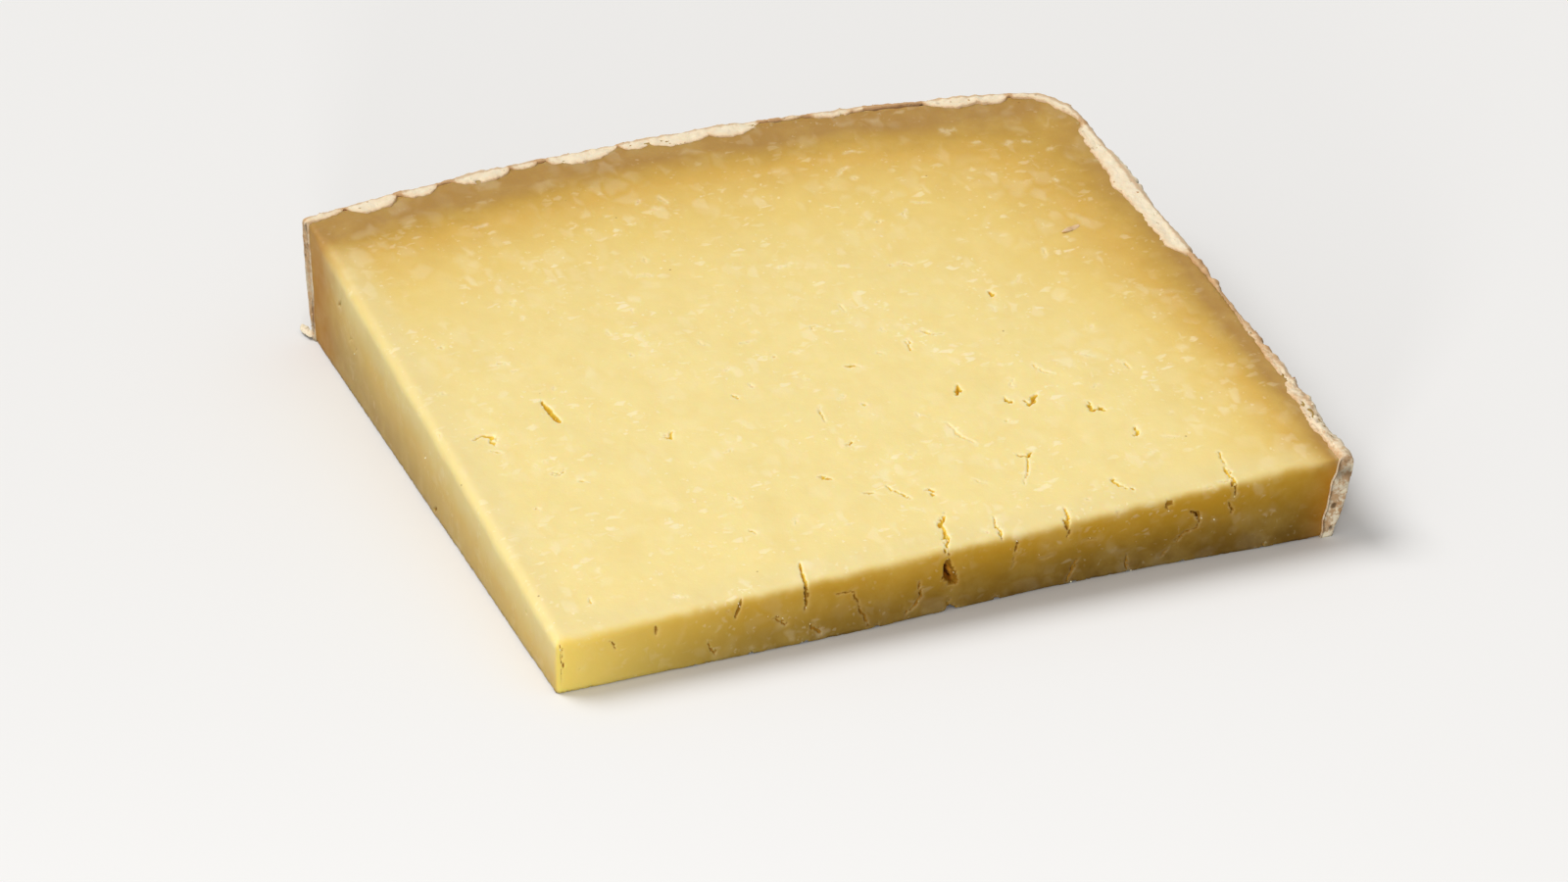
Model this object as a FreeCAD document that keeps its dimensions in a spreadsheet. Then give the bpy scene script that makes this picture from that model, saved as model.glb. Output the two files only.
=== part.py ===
import FreeCAD, Part
import Sketcher
import math
import os
import random

# A slice of an aged pressed cheese, lying on one of its wire cuts.
#
# The wheel it comes from is a tall drum with a bellied wall. The drum was cut across at half its height, and
# slices were then cut down through that half, from its axis to its wall. So the slice is a wedge: thin at the
# front, near the axis, and thick at the back, at the wall. Its sides are
#   front  a wire cut near the axis, hollow along its foot and straight along its top,
#   left   the cut across the wheel,
#   back   the wall, bellied and covered with crust,
#   right  the end face of the drum, with the same crust, which turns the shoulder from wall to end.
# The crust is lumpy, of uneven thickness, and stands a little proud of the paste, which has sunk inside it.
# The cut faces show the slits that pressed curd leaves, and the foot of the front face is chipped.
#
# It is modelled with the sharp front left corner of its foot at the origin, X along the front, Y along the
# left cut and Z up. The finished slice is then moved, so that the middle of its box's foot is the origin.

NODE = "cheese_slice"

# alias, value in millimetres or a plain number, meaning
SIZES = [
    ("front_length", 187.5, "foot of the front cut, from the sharp corner to the end face"),
    ("left_length", 169.5, "foot of the left cut, from the sharp corner to the wall"),
    ("left_skew", 1.5, "drift of the left cut to the right on its way back"),
    ("thin_height", 14.0, "height of the paste at the sharp corner"),
    ("end_rise", 6.0, "gain in height along the front cut"),
    ("wall_rise", 16.4, "gain in height along the left cut"),
    ("front_hollow", 5.0, "depth of the hollow along the foot of the front cut"),
    ("hollow_height", 12.0, "height at which that hollow has faded out"),
    ("edge_softness", 1.0, "radius of the two upper edges of the cuts"),
    ("crest_place", 55.0, "place along the front where the wall's belly is widest"),
    ("belly_radius", 505.0, "radius of the wall's belly, seen from above"),
    ("end_taper", 4.0, "drift of the end face to the left on its way back"),
    ("shoulder_radius", 12.0, "radius of the turn from wall to end face"),
    ("wall_lean", 0.12, "outward lean of the wall for each unit of height"),
    ("end_lean", 0.27, "outward lean of the end face at the front"),
    ("crust_belly", 1.2, "outward bulge of the crust at half its height"),
    ("crust_width", 5.0, "mean thickness of the crust at the top cut"),
    ("crust_wander", 1.8, "most that this thickness wanders either way"),
    ("crust_proud", 0.6, "height of the crust above the sunken paste"),
    ("lump_height", 1.3, "height of the largest lumps and dents of the crust"),
    ("lump_radius", 6.5, "usual radius of a lump or dent"),
    ("lump_count", 120.0, "number of lumps and dents"),
    ("crust_seed", 7.0, "seed for the lumps and for the crust's thickness"),
    ("crust_step", 4.5, "spacing of the points that carry the crust's surface"),
    ("slit_taper", 0.35, "width of a slit at its bottom, as a share of that at its mouth"),
    ("slit_drift", 0.3, "drift of a slit's corners off its line, as a share of its width"),
    ("slit_seed", 3.0, "seed for that drift"),
    ("margin", 12.0, "overlength of blocks and knives beyond each cut"),
]

# Slits in the top cut: place along the front and along the left cut, as shares of their lengths, then
# length, width and depth in millimetres, and the turn in degrees.
TOP_SLITS = [
    (0.155, 0.470, 8.0, 1.4, 3.0, 94),
    (0.700, 0.276, 7.5, 1.7, 2.5, 10),
    (0.630, 0.318, 3.8, 1.5, 2.5, 76),
    (0.748, 0.524, 5.6, 1.2, 3.0, 92),
    (0.272, 0.382, 4.8, 1.2, 2.0, 70),
    (0.772, 0.218, 3.8, 1.6, 2.0, 118),
    (0.316, 0.024, 10.0, 1.2, 3.0, 84),
    (0.508, 0.034, 10.0, 1.2, 2.5, 80),
]
# Slits in the front cut: place along it and up it, as shares of its length and of its height there, then
# as above.
FRONT_SLITS = [
    (0.320, 0.72, 12.0, 1.4, 3.5, 98),
    (0.506, 0.62, 8.0, 3.2, 5.0, 112),
    (0.448, 0.44, 8.0, 1.2, 3.0, 60),
    (0.592, 0.56, 8.5, 1.3, 3.0, 100),
    (0.656, 0.80, 7.0, 1.4, 2.5, 94),
    (0.812, 0.52, 9.0, 1.9, 3.0, 62),
]
# Chips out of the foot of the front cut: place along it as a share of its length, then height, width and
# depth in millimetres.
FOOT_CHIPS = [
    (0.310, 1.7, 4.2, 2.6),
    (0.405, 1.2, 3.2, 2.2),
    (0.497, 2.2, 4.6, 3.0),
    (0.560, 1.5, 3.6, 2.4),
    (0.802, 1.4, 3.0, 2.2),
    (0.925, 2.2, 1.8, 2.6),
]
SLIT_CORNERS = (0.12, 0.34, 0.60, 0.85)  # places of the corners along each side of a slit
SLIT_MOUTH = 1.0  # how far a slit's knife stands out of the cut face
MESH_FINENESS = 0.05  # deviation of the mesh that the slice's box is measured on

vec = FreeCAD.Vector
UP = vec(0, 0, 1)


def make_sheet(doc):
    """Writes the driving sizes into the document's spreadsheet."""
    sheet = doc.addObject("Spreadsheet::Sheet", "Sizes")
    for row, (alias, value, meaning) in enumerate(SIZES, start=1):
        sheet.set(f"A{row}", meaning)
        sheet.set(f"B{row}", str(value))
        sheet.setAlias(f"B{row}", alias)
    doc.recompute()
    return sheet


def paste_height(sheet, x, y):
    """Height of the paste's top cut above the foot's point x, y."""
    front_gain = x * sheet.end_rise / sheet.front_length
    left_gain = y * sheet.wall_rise / sheet.left_length
    return sheet.thin_height + front_gain + left_gain


def wide_span(sheet):
    """Length of a block that reaches well past the crust."""
    return sheet.front_length + 4 * sheet.margin


# ------------------------------------------------------------------------------------------ crusted block


class CrustPath:
    """The foot of the crust seen from above: the wall's belly, the shoulder and the end face."""

    def __init__(self, sheet):
        self.sheet = sheet
        end_foot = vec(sheet.front_length, 0, 0)
        end_run = vec(-sheet.end_taper, sheet.left_length, 0).normalize()
        inward = vec(-end_run.y, end_run.x, 0)
        # The wall's arc leaves the left cut at its foot, and is furthest back at the crest.
        crest_gain = sheet.belly_radius - math.sqrt(sheet.belly_radius**2 - sheet.crest_place**2)
        self.crest = vec(sheet.crest_place, sheet.left_length + crest_gain, 0)
        belly = self.crest - vec(0, sheet.belly_radius, 0)
        # The shoulder's centre is shoulder_radius inside both the end face and the belly.
        start = end_foot + inward * sheet.shoulder_radius - belly
        reach = sheet.belly_radius - sheet.shoulder_radius
        across = start.dot(end_run)
        along = math.sqrt(across**2 - start.dot(start) + reach**2) - across
        self.centre = belly + start + end_run * along
        on_end = self.centre - inward * sheet.shoulder_radius
        outward = (self.centre - belly).normalize()
        on_wall = belly + outward * sheet.belly_radius
        on_shoulder = self.centre + (outward - inward).normalize() * sheet.shoulder_radius
        side_step = -sheet.margin - belly.x
        wall_start = belly + vec(side_step, math.sqrt(sheet.belly_radius**2 - side_step**2), 0)
        end_stop = end_foot - end_run * (sheet.margin / end_run.y)
        wall = Part.Arc(wall_start, self.crest, on_wall).toShape()
        shoulder = Part.Arc(on_wall, on_shoulder, on_end).toShape()
        end = Part.LineSegment(on_end, end_stop).toShape()
        self.wire = Part.Wire([wall, shoulder, end])
        self.points = self.wire.discretize(Number=round(self.wire.Length / sheet.crust_step))

    def outward(self, point):
        """The way the crust faces: straight back on the wall, straight right on the end face."""
        if point.x < self.centre.x:
            return vec(0, 1, 0)
        if point.y < self.centre.y:
            return vec(1, 0, 0)
        return (point - self.centre).normalize()

    def lean(self, point):
        """Outward lean above this point of the path. It fades from end_lean to wall_lean on the end face."""
        if point.x < self.centre.x:
            return self.sheet.wall_lean
        fade = min(max(point.y / self.centre.y, 0), 1)
        return self.sheet.end_lean + (self.sheet.wall_lean - self.sheet.end_lean) * fade

    def outer(self, point, height):
        """A point of the crust's mean outer surface, at this height above this point of the path."""
        full = paste_height(self.sheet, point.x, point.y)
        bulge = self.sheet.crust_belly * math.sin(math.pi * height / full)
        return point + self.outward(point) * (self.lean(point) * height + bulge) + UP * height


def make_marks(sheet, length, height):
    """Chance places, radii and heights of the lumps (positive) and dents (negative) on the unrolled crust."""
    chance = random.Random(int(sheet.crust_seed))
    marks = []
    for _ in range(int(sheet.lump_count)):
        place = (chance.uniform(0, length), chance.uniform(0, height))
        radius = sheet.lump_radius * chance.uniform(0.7, 1.4)
        marks.append((place, radius, sheet.lump_height * chance.uniform(-0.8, 1.0)))
    return marks


def relief(marks, along, up):
    """Height of the lumps and dents at a place on the unrolled crust."""
    return sum(
        height * math.exp(-((along - place[0]) ** 2 + (up - place[1]) ** 2) / radius**2)
        for place, radius, height in marks
    )


def make_crusted_block(doc, sheet, path):
    """The uncut block: a box that is split by one spline surface, the crust of the wall and the end face."""
    low = -sheet.margin
    high = paste_height(sheet, sheet.front_length, sheet.left_length) + sheet.crust_proud + sheet.margin
    rows = math.ceil((high - low) / sheet.crust_step) + 1
    marks = make_marks(sheet, path.wire.Length, high - low)
    grid = []
    for column, point in enumerate(path.points):
        along = path.wire.Length * column / (len(path.points) - 1)
        heights = [(high - low) * row / (rows - 1) for row in range(rows)]
        grid.append(
            [path.outer(point, low + up) + path.outward(point) * relief(marks, along, up) for up in heights]
        )
    crust = Part.BSplineSurface()
    crust.interpolate(grid)
    # The box stays inside the crust's own rims, and reaches beyond its outer side.
    start = low * 0.8
    deep = path.crest.y + 4 * sheet.margin
    box = Part.makeBox(wide_span(sheet), deep, high * 0.95 - start, vec(start, start, start))
    pieces, _ = box.generalFuse([crust.toShape()])
    block = doc.addObject("Part::Feature", "CrustedBlock")
    block.Shape = [piece for piece in pieces.Solids if piece.isInside(vec(0, 0, 0), 0.01, True)][0]
    return block


# ------------------------------------------------------------------------------------------ wire cuts

WIDE = "Sizes.front_length + 4 * Sizes.margin"
DEEP = "Sizes.left_length + 4 * Sizes.margin"
SKEW = f"Sizes.left_skew / Sizes.left_length * ({DEEP})"
HIGH = "Sizes.thin_height + Sizes.end_rise + Sizes.wall_rise + 4 * Sizes.margin"
HOLLOW_RADIUS = f"(({WIDE})^2 / 4 + Sizes.front_hollow^2) / (2 * Sizes.front_hollow)"


def cut_section(body, sheet, name, level, hollowed):
    """What the front and left wires leave at one level. The front side is an arc where it is hollowed."""
    sketch = body.newObject("Sketcher::SketchObject", name)
    plane = [feature for feature in body.Origin.OriginFeatures if feature.Role == "XY_Plane"][0]
    sketch.AttachmentSupport = [(plane, "")]
    sketch.MapMode = "FlatFace"
    sketch.setExpression("AttachmentOffset.Base.z", level)
    wide = wide_span(sheet)
    deep = sheet.left_length + 4 * sheet.margin
    front_left = vec(0, 0, 0)
    front_right = vec(wide, 0, 0)
    back_right = vec(wide, deep, 0)
    back_left = vec(sheet.left_skew, deep, 0)
    if hollowed:
        front = Part.Arc(front_right, vec(wide / 2, sheet.front_hollow, 0), front_left)
    else:
        front = Part.LineSegment(front_right, front_left)
    sides = [
        front,
        Part.LineSegment(front_left, back_left),
        Part.LineSegment(back_left, back_right),
        Part.LineSegment(back_right, front_right),
    ]
    sketch.addGeometry(sides, False)
    # In a constraint, 1 and 2 are a line's start and end, and -1, 1 is the origin.
    ties = [Sketcher.Constraint("Coincident", side, 2, (side + 1) % 4, 1) for side in range(4)]
    ties.append(Sketcher.Constraint("Coincident", 1, 1, -1, 1))
    ties.append(Sketcher.Constraint("PointOnObject", 3, 2, -1))
    ties.append(Sketcher.Constraint("Horizontal", 2))
    ties.append(Sketcher.Constraint("Vertical", 3))
    sketch.addConstraint(ties)
    measure(sketch, Sketcher.Constraint("DistanceX", -1, 1, 2, 2, wide), WIDE)
    measure(sketch, Sketcher.Constraint("DistanceY", -1, 1, 2, 2, deep), DEEP)
    measure(sketch, Sketcher.Constraint("DistanceX", -1, 1, 2, 1, sheet.left_skew), SKEW)
    if hollowed:
        measure(sketch, Sketcher.Constraint("Radius", 0, sketch.Geometry[0].Radius), HOLLOW_RADIUS)
    return sketch


def measure(sketch, constraint, expression):
    """Adds a dimension to a sketch and binds it to the spreadsheet."""
    index = sketch.addConstraint(constraint)
    sketch.setExpression(f"Constraints[{index}]", expression)


def make_wire_cuts(doc, sheet):
    """The block between the front and left cuts: a ruled loft from the hollowed foot to straight sides."""
    body = doc.addObject("PartDesign::Body", "WireCuts")
    foot = cut_section(body, sheet, "Foot", "0 mm", True)
    waist = cut_section(body, sheet, "Waist", "Sizes.hollow_height", False)
    head = cut_section(body, sheet, "Head", HIGH, False)
    loft = body.newObject("PartDesign::AdditiveLoft", "Sides")
    loft.Profile = foot
    loft.Sections = [waist, head]
    loft.Ruled = True
    return body


def make_top_waste(doc):
    """The knife that makes the top cut, as high as the crust stands."""
    knife = doc.addObject("Part::Box", "TopWaste")
    front_slope = "Sizes.end_rise / Sizes.front_length"
    left_slope = "Sizes.wall_rise / Sizes.left_length"
    start_height = "Sizes.thin_height + Sizes.crust_proud"
    knife.setExpression("Length", "Sizes.front_length + 6 * Sizes.margin")
    knife.setExpression("Width", "Sizes.left_length + 6 * Sizes.margin")
    knife.setExpression("Height", HIGH)
    knife.setExpression("Placement.Base.x", "-2 * Sizes.margin")
    knife.setExpression("Placement.Base.y", "-2 * Sizes.margin")
    knife.setExpression(
        "Placement.Base.z", f"{start_height} - 2 * Sizes.margin * ({front_slope} + {left_slope})"
    )
    knife.setExpression("Placement.Rotation.Pitch", f"-atan({front_slope})")
    knife.setExpression("Placement.Rotation.Roll", f"atan({left_slope} * cos(atan({front_slope})))")
    return knife


def make_sink(doc, sheet, path):
    """The knife that takes the paste down inside the crust: a prism that stands on the paste's top."""
    chance = random.Random(int(sheet.crust_seed))
    line = []
    for point in path.points[::2]:
        width = sheet.crust_width + chance.uniform(-1, 1) * sheet.crust_wander
        edge = path.outer(point, paste_height(sheet, point.x, point.y))
        inner = edge - path.outward(point) * width
        line.append(vec(inner.x, inner.y, paste_height(sheet, inner.x, inner.y)))
    outside = vec(-sheet.margin, -sheet.margin, paste_height(sheet, -sheet.margin, -sheet.margin))
    inner_line = Part.BSplineCurve()
    inner_line.interpolate(line)
    back = [Part.LineSegment(line[-1], outside).toShape(), Part.LineSegment(outside, line[0]).toShape()]
    sink = doc.addObject("Part::Feature", "Sink")
    sink.Shape = Part.Face(Part.Wire([inner_line.toShape()] + back)).extrude(UP * sheet.margin)
    return sink


# ------------------------------------------------------------------------------------------ slits and chips


def slit_knife(sheet, chance, length, width, depth):
    """A tapered knife for a slit along X, in a face that is its XY plane. Its sides wander off the line."""
    near_side = []
    far_side = []
    for place in SLIT_CORNERS:
        half = width / 2 * math.sqrt(math.sin(math.pi * place))
        middle = width * sheet.slit_drift * chance.uniform(-1, 1)
        near_side.append(((place - 0.5) * length, middle - half))
        far_side.append(((place - 0.5) * length, middle + half))
    outline = [(-length / 2, 0)] + near_side + [(length / 2, 0)] + far_side[::-1]
    mouth = [vec(along, across, SLIT_MOUTH) for along, across in outline]
    bottom = [vec(along * 0.8, across * sheet.slit_taper, -depth) for along, across in outline]
    wires = [Part.makePolygon(corners + corners[:1]) for corners in (mouth, bottom)]
    return Part.makeLoft(wires, True, True)


def make_openings(doc, sheet):
    """All slits and chips, as one knife."""
    chance = random.Random(int(sheet.slit_seed))
    front_slope = sheet.end_rise / sheet.front_length
    left_slope = sheet.wall_rise / sheet.left_length
    on_top = FreeCAD.Rotation(UP, vec(-front_slope, -left_slope, 1))
    on_front = FreeCAD.Rotation(vec(1, 0, 0), 90)
    knives = []

    def cut(place, face, turn, length, width, depth):
        knife = slit_knife(sheet, chance, length, width, depth)
        knife.Placement = FreeCAD.Placement(place, face * FreeCAD.Rotation(UP, turn))
        knives.append(knife)

    for along, back, length, width, depth, turn in TOP_SLITS:
        x, y = along * sheet.front_length, back * sheet.left_length
        cut(vec(x, y, paste_height(sheet, x, y)), on_top, turn, length, width, depth)
    for along, share, length, width, depth, turn in FRONT_SLITS:
        x = along * sheet.front_length
        z = share * paste_height(sheet, x, 0)
        cut(vec(x, front_inset(sheet, x, z), z), on_front, turn, length, width, depth)
    for along, height, width, depth in FOOT_CHIPS:
        x = along * sheet.front_length
        cut(vec(x, front_inset(sheet, x, 0), 0), on_front, 90, 2 * height, width, depth)
    openings = doc.addObject("Part::Feature", "Openings")
    openings.Shape = knives[0].multiFuse(knives[1:])
    return openings


def front_inset(sheet, x, z):
    """How far the hollowed front cut lies behind its top edge."""
    from_middle = 2 * x / wide_span(sheet) - 1
    fade = max(0, 1 - z / sheet.hollow_height)
    return sheet.front_hollow * (1 - from_middle**2) * fade


# ------------------------------------------------------------------------------------------ slice


def boolean(doc, kind, name, base, tool):
    """A Part::Cut or Part::Common of two objects."""
    result = doc.addObject(kind, name)
    result.Base = base
    result.Tool = tool
    return result


def soften(doc, sheet, base):
    """Rounds the upper edges of the front and left cuts."""
    doc.recompute()
    rounded = doc.addObject("Part::Fillet", "SoftEdges")
    rounded.Base = base
    chosen = []
    for number, edge in enumerate(base.Shape.Edges, start=1):
        middle = edge.CenterOfMass
        is_upper = abs(middle.z - paste_height(sheet, middle.x, middle.y)) < 0.01
        is_long = edge.Length > sheet.front_length / 2
        is_straight = isinstance(edge.Curve, Part.Line)
        if is_upper and is_long and is_straight:
            chosen.append((number, sheet.edge_softness, sheet.edge_softness))
    rounded.Edges = chosen
    return rounded


def check(doc, sub_part):
    """Stops unless every object computed and the sub-part is one valid solid."""
    for item in doc.Objects:
        if "Invalid" in item.State or "Error" in item.State:
            raise RuntimeError(f"{item.Label}: {item.State}")
    shape = sub_part.Shape
    if shape.isNull() or not shape.isValid() or len(shape.Solids) != 1:
        raise RuntimeError(f"{sub_part.Label} isn't one valid solid")


def tight_box(shape):
    """The box of a fine mesh, because the box of a trimmed spline surface comes out too large."""
    box = FreeCAD.BoundBox()
    for corner in shape.tessellate(MESH_FINENESS)[0]:
        box.add(corner)
    return box


def centre_on_foot(piece):
    """Moves the slice so that the middle of the foot of its box is the origin."""
    box = tight_box(piece.Shape)
    piece.Placement.Base = vec(-box.Center.x, -box.Center.y, -box.ZMin)


def main():
    doc = FreeCAD.newDocument("CheeseSlice")
    sheet = make_sheet(doc)
    path = CrustPath(sheet)
    block = make_crusted_block(doc, sheet, path)
    cuts = make_wire_cuts(doc, sheet)
    wedge = boolean(doc, "Part::Common", "Wedge", block, cuts)
    topped = boolean(doc, "Part::Cut", "Topped", wedge, make_top_waste(doc))
    sunk = boolean(doc, "Part::Cut", "Sunk", topped, make_sink(doc, sheet, path))
    softened = soften(doc, sheet, sunk)
    piece = boolean(doc, "Part::Cut", "Slice", softened, make_openings(doc, sheet))
    piece.Label = NODE
    doc.recompute()
    centre_on_foot(piece)
    doc.recompute()
    check(doc, piece)
    os.makedirs("parts", exist_ok=True)
    piece.Shape.exportStep(f"parts/{NODE}.step")
    box = tight_box(piece.Shape)
    print(f"{NODE}: {box.XLength:.1f} x {box.YLength:.1f} x {box.ZLength:.1f} mm,", end=" ")
    print(f"{piece.Shape.Volume / 1e6:.3f} litres, {len(piece.Shape.Faces)} faces")


main()
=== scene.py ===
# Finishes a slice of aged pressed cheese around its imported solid: the paste with its slits, pits and curd
# flecks, the lumpy crust, the crumbs on both, and the stage. Sizes are in metres.

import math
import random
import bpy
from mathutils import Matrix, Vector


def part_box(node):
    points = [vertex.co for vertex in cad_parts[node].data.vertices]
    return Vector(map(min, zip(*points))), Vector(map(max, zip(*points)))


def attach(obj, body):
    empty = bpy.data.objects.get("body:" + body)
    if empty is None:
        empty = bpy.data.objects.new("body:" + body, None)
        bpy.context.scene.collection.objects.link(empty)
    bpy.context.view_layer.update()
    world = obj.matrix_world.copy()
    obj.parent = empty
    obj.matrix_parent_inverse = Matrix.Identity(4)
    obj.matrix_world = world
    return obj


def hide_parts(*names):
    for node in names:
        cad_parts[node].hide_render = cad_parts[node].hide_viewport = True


bl_info = {
    "name": "Cheese Slice",
    "version": (1, 0, 0),
    "blender": (4, 5, 0),
    "location": "View3D > Sidebar > Cheese",
    "description": "Makes the paste, the crust and the crumbs of a slice of pressed cheese",
    "category": "Object",
}

import bmesh
import bpy
import numpy as np
from bpy.props import FloatProperty, FloatVectorProperty, IntProperty, PointerProperty
from mathutils import Vector, noise
from mathutils.geometry import delaunay_2d_cdt

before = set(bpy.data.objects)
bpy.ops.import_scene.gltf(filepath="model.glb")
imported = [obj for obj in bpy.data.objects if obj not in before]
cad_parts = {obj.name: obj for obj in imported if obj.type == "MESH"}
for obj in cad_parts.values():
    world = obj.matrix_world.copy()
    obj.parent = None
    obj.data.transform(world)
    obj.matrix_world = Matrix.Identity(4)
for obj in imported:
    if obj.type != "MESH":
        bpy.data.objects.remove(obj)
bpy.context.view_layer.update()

BODY = "root"
NODE = "cheese_slice"
MM = 0.001
LOW, HIGH = (Vector(corner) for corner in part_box(NODE))
FAR = 9.0  # stands for any distance from an edge or a seam that is too far to show, in millimetres


def number(name, description, default, **more):
    """A number in the sidebar."""
    return FloatProperty(name=name, description=description, default=default, **more)


def length(name, description, millimetres):
    """A length in the sidebar, with its default given in millimetres."""
    return number(name, description, millimetres * MM, unit="LENGTH", precision=4)


def colour(name, description, red, green, blue):
    """A colour in the sidebar, given as the linear values that the shader uses."""
    return FloatVectorProperty(
        name=name, description=description, default=(red, green, blue), subtype="COLOR", size=3, min=0, max=1
    )


class CheeseShape(bpy.types.PropertyGroup):
    front_length: length("Front", "Foot of the front cut, from the sharp corner to the end face", 187.5)
    left_length: length("Left", "Foot of the left cut, from the sharp corner to the wall", 169.5)
    left_skew: length("Left skew", "Drift of the left cut to the right on its way back", 1.5)
    thin_height: length("Thin corner", "Height of the paste at the sharp corner", 14.0)
    end_rise: length("End rise", "Gain in height along the front cut", 6.0)
    wall_rise: length("Wall rise", "Gain in height along the left cut", 16.4)
    front_hollow: length("Front hollow", "Depth of the hollow along the foot of the front cut", 1.9)
    hollow_place: length("Hollow place", "Place along the front where that hollow is deepest", 125.0)
    hollow_reach: length("Hollow reach", "Distance from there at which the hollow has ended", 60.0)
    hollow_height: length("Hollow height", "Height at which that hollow has faded out", 13.0)
    crest_place: length("Crest", "Place along the front where the wall's belly is widest", 55.0)
    belly_radius: length("Belly radius", "Radius of the wall's belly, seen from above", 505.0)
    end_taper: length("End taper", "Drift of the end face to the left on its way back", 4.0)
    roll_reach: length("Roll reach", "How far from the front edge the top starts to roll down", 11.0)
    roll_depth: length("Roll depth", "How far the top has rolled down at the front edge", 0.55)
    shoulder_radius: length("Shoulder", "Radius of the turn from wall to end face", 12.0)
    wall_lean: number("Wall lean", "Outward lean of the wall", 0.12)
    end_lean: number("End lean", "Outward lean of the end face at the front", 0.27)


class PasteShape(bpy.types.PropertyGroup):
    grain: length("Grain", "Spacing of the paste's mesh", 1.15)
    fine_grain: length("Fine grain", "Spacing of the mesh round an opening", 0.3)
    foot_grain: length("Foot grain", "Spacing of the mesh of the hidden foot", 3.0)
    edge_radius: length("Edge", "Radius of the upper edges of the cuts", 2.4)
    foot_radius: length("Foot edge", "Radius of the lower edges of the cuts", 0.5)
    corner_radius: length("Corner", "Radius of the sharp upright corner", 1.3)
    waviness: length("Waviness", "Height of the slow waves on the cut faces", 0.25)
    roughness: length("Roughness", "Height of the fine relief on the cut faces", 0.07)
    openness: number("Openness", "Share of their full width that the openings gape", 0.68)
    sunkness: number("Sunkness", "Share of their full depth that the openings sink", 0.62)
    pit_count: IntProperty(name="Pits", description="Number of small chance openings", default=110)
    seed: IntProperty(name="Seed", description="Seed for the small openings", default=11)


class CrustShape(bpy.types.PropertyGroup):
    along_step: length("Step along", "Spacing of the crust's mesh along the crust", 0.5)
    gap_width: length("Gap width", "Thickness of the crust between its pale plates on the wall", 1.7)
    proud: length("Proud", "Height of the crust above the paste", 0.3)
    lumps: length("Lumps", "Height of the crust's large lumps", 1.5)
    nodules: length("Nodules", "Height of the crust's nodules", 0.75)
    crumb_relief: length("Crumb relief", "Height of the crust's fine relief", 0.3)
    pits: length("Pits", "Depth of the crust's pits", 0.9)


class CheeseLook(bpy.types.PropertyGroup):
    heart: colour("Heart", "Paste far from the crust", 0.86, 0.70, 0.30)
    ripe: colour("Ripe", "Paste that has started to ripen", 0.79, 0.575, 0.18)
    golden: colour("Golden", "Ripe paste", 0.67, 0.415, 0.09)
    brown: colour("Brown", "Paste near the crust", 0.53, 0.315, 0.06)
    under_crust: colour("Under crust", "Paste right under the crust", 0.42, 0.235, 0.06)
    # The Front and Left colours are painted shade of the cut sides, darker toward the foot; Side ripe is
    # browned paste in that painted shade.
    front_shade_top: colour("Front edge", "Front cut just under its upper edge", 0.62, 0.38, 0.05)
    front_shade_high: colour("Front high", "Front cut a little lower", 0.52, 0.28, 0.018)
    front_shade_low: colour("Front low", "Front cut near its foot", 0.27, 0.145, 0.013)
    front_shade_foot: colour("Front foot", "Front cut at its foot", 0.16, 0.085, 0.01)
    # Painted light: the front cut is painted paler and brighter near the thin corner, as if lit from beside
    # it.
    thin: colour("Thin", "Front cut near the thin corner", 0.96, 0.71, 0.16)
    left_shade_high: colour("Left high", "Left cut under its upper edge", 0.72, 0.49, 0.15)
    left_shade_low: colour("Left low", "Left cut near its foot", 0.48, 0.31, 0.10)
    side_ripe_shaded: colour("Side ripe", "Cut sides near the crust", 0.44, 0.17, 0.01)
    # The Edge colour is a painted sheen along the rounded upper edges of the cuts.
    edge: colour("Edge", "Top along the edges of the cuts", 0.78, 0.645, 0.31)
    fleck: colour("Fleck", "Pale flecks of torn curd", 0.95, 0.85, 0.60)
    inside: colour("Inside", "Paste inside an opening", 0.84, 0.57, 0.065)
    # Depth, Crack and Bottom are painted shade inside openings: darker as an opening deepens, and darker on
    # the cut sides.
    depth: colour("Depth", "Walls of a deep opening", 0.50, 0.22, 0.02)
    crack: colour("Crack", "Inside a crack of the cut sides", 0.34, 0.165, 0.013)
    deep_pit_shade_and_speck: colour("Bottom", "Bottom of the deepest openings", 0.22, 0.08, 0.01)
    bloom: colour("Bloom", "Pale bloom on the crust", 0.87, 0.76, 0.56)
    peach: colour("Peach", "Thin bloom on the crust", 0.80, 0.56, 0.32)
    tan: colour("Tan", "Crust without bloom", 0.50, 0.28, 0.12)
    # Dark is the rind's own dark brown, and also painted shade in its pits and cracks.
    rind_dark_and_pit_shade: colour("Dark", "Pits and cracks of the crust", 0.13, 0.075, 0.03)


class StageShape(bpy.types.PropertyGroup):
    azimuth: number("Azimuth", "Bearing of the view", math.radians(-21.44), subtype="ANGLE")
    elevation: number("Elevation", "Height of the view", math.radians(30.53), subtype="ANGLE")
    distance: number("Distance", "From the camera to its target", 2.041, unit="LENGTH")
    target: FloatVectorProperty(
        name="Target",
        description="What the camera looks at",
        default=(-0.0104, -0.0040, 0.0),
        subtype="TRANSLATION",
    )
    lens: number("Lens", "Focal length in millimetres", 202.5)
    floor_size: number("Floor", "Width of the floor", 9.0, unit="LENGTH")


# ---------------------------------------------------------------------------------------- the slice's form


def unit(vector):
    """A vector of length one."""
    return np.asarray(vector, float) / np.linalg.norm(vector)


def corner_of_foot():
    """The sharp corner of the slice's foot, where plan places are measured from."""
    return np.array([LOW.x, LOW.y])


def paste_height(shape, x, y):
    """Height of the top cut above the plan place x, y."""
    end_gain = x * shape.end_rise / shape.front_length
    wall_gain = y * shape.wall_rise / shape.left_length
    return shape.thin_height + end_gain + wall_gain


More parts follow.
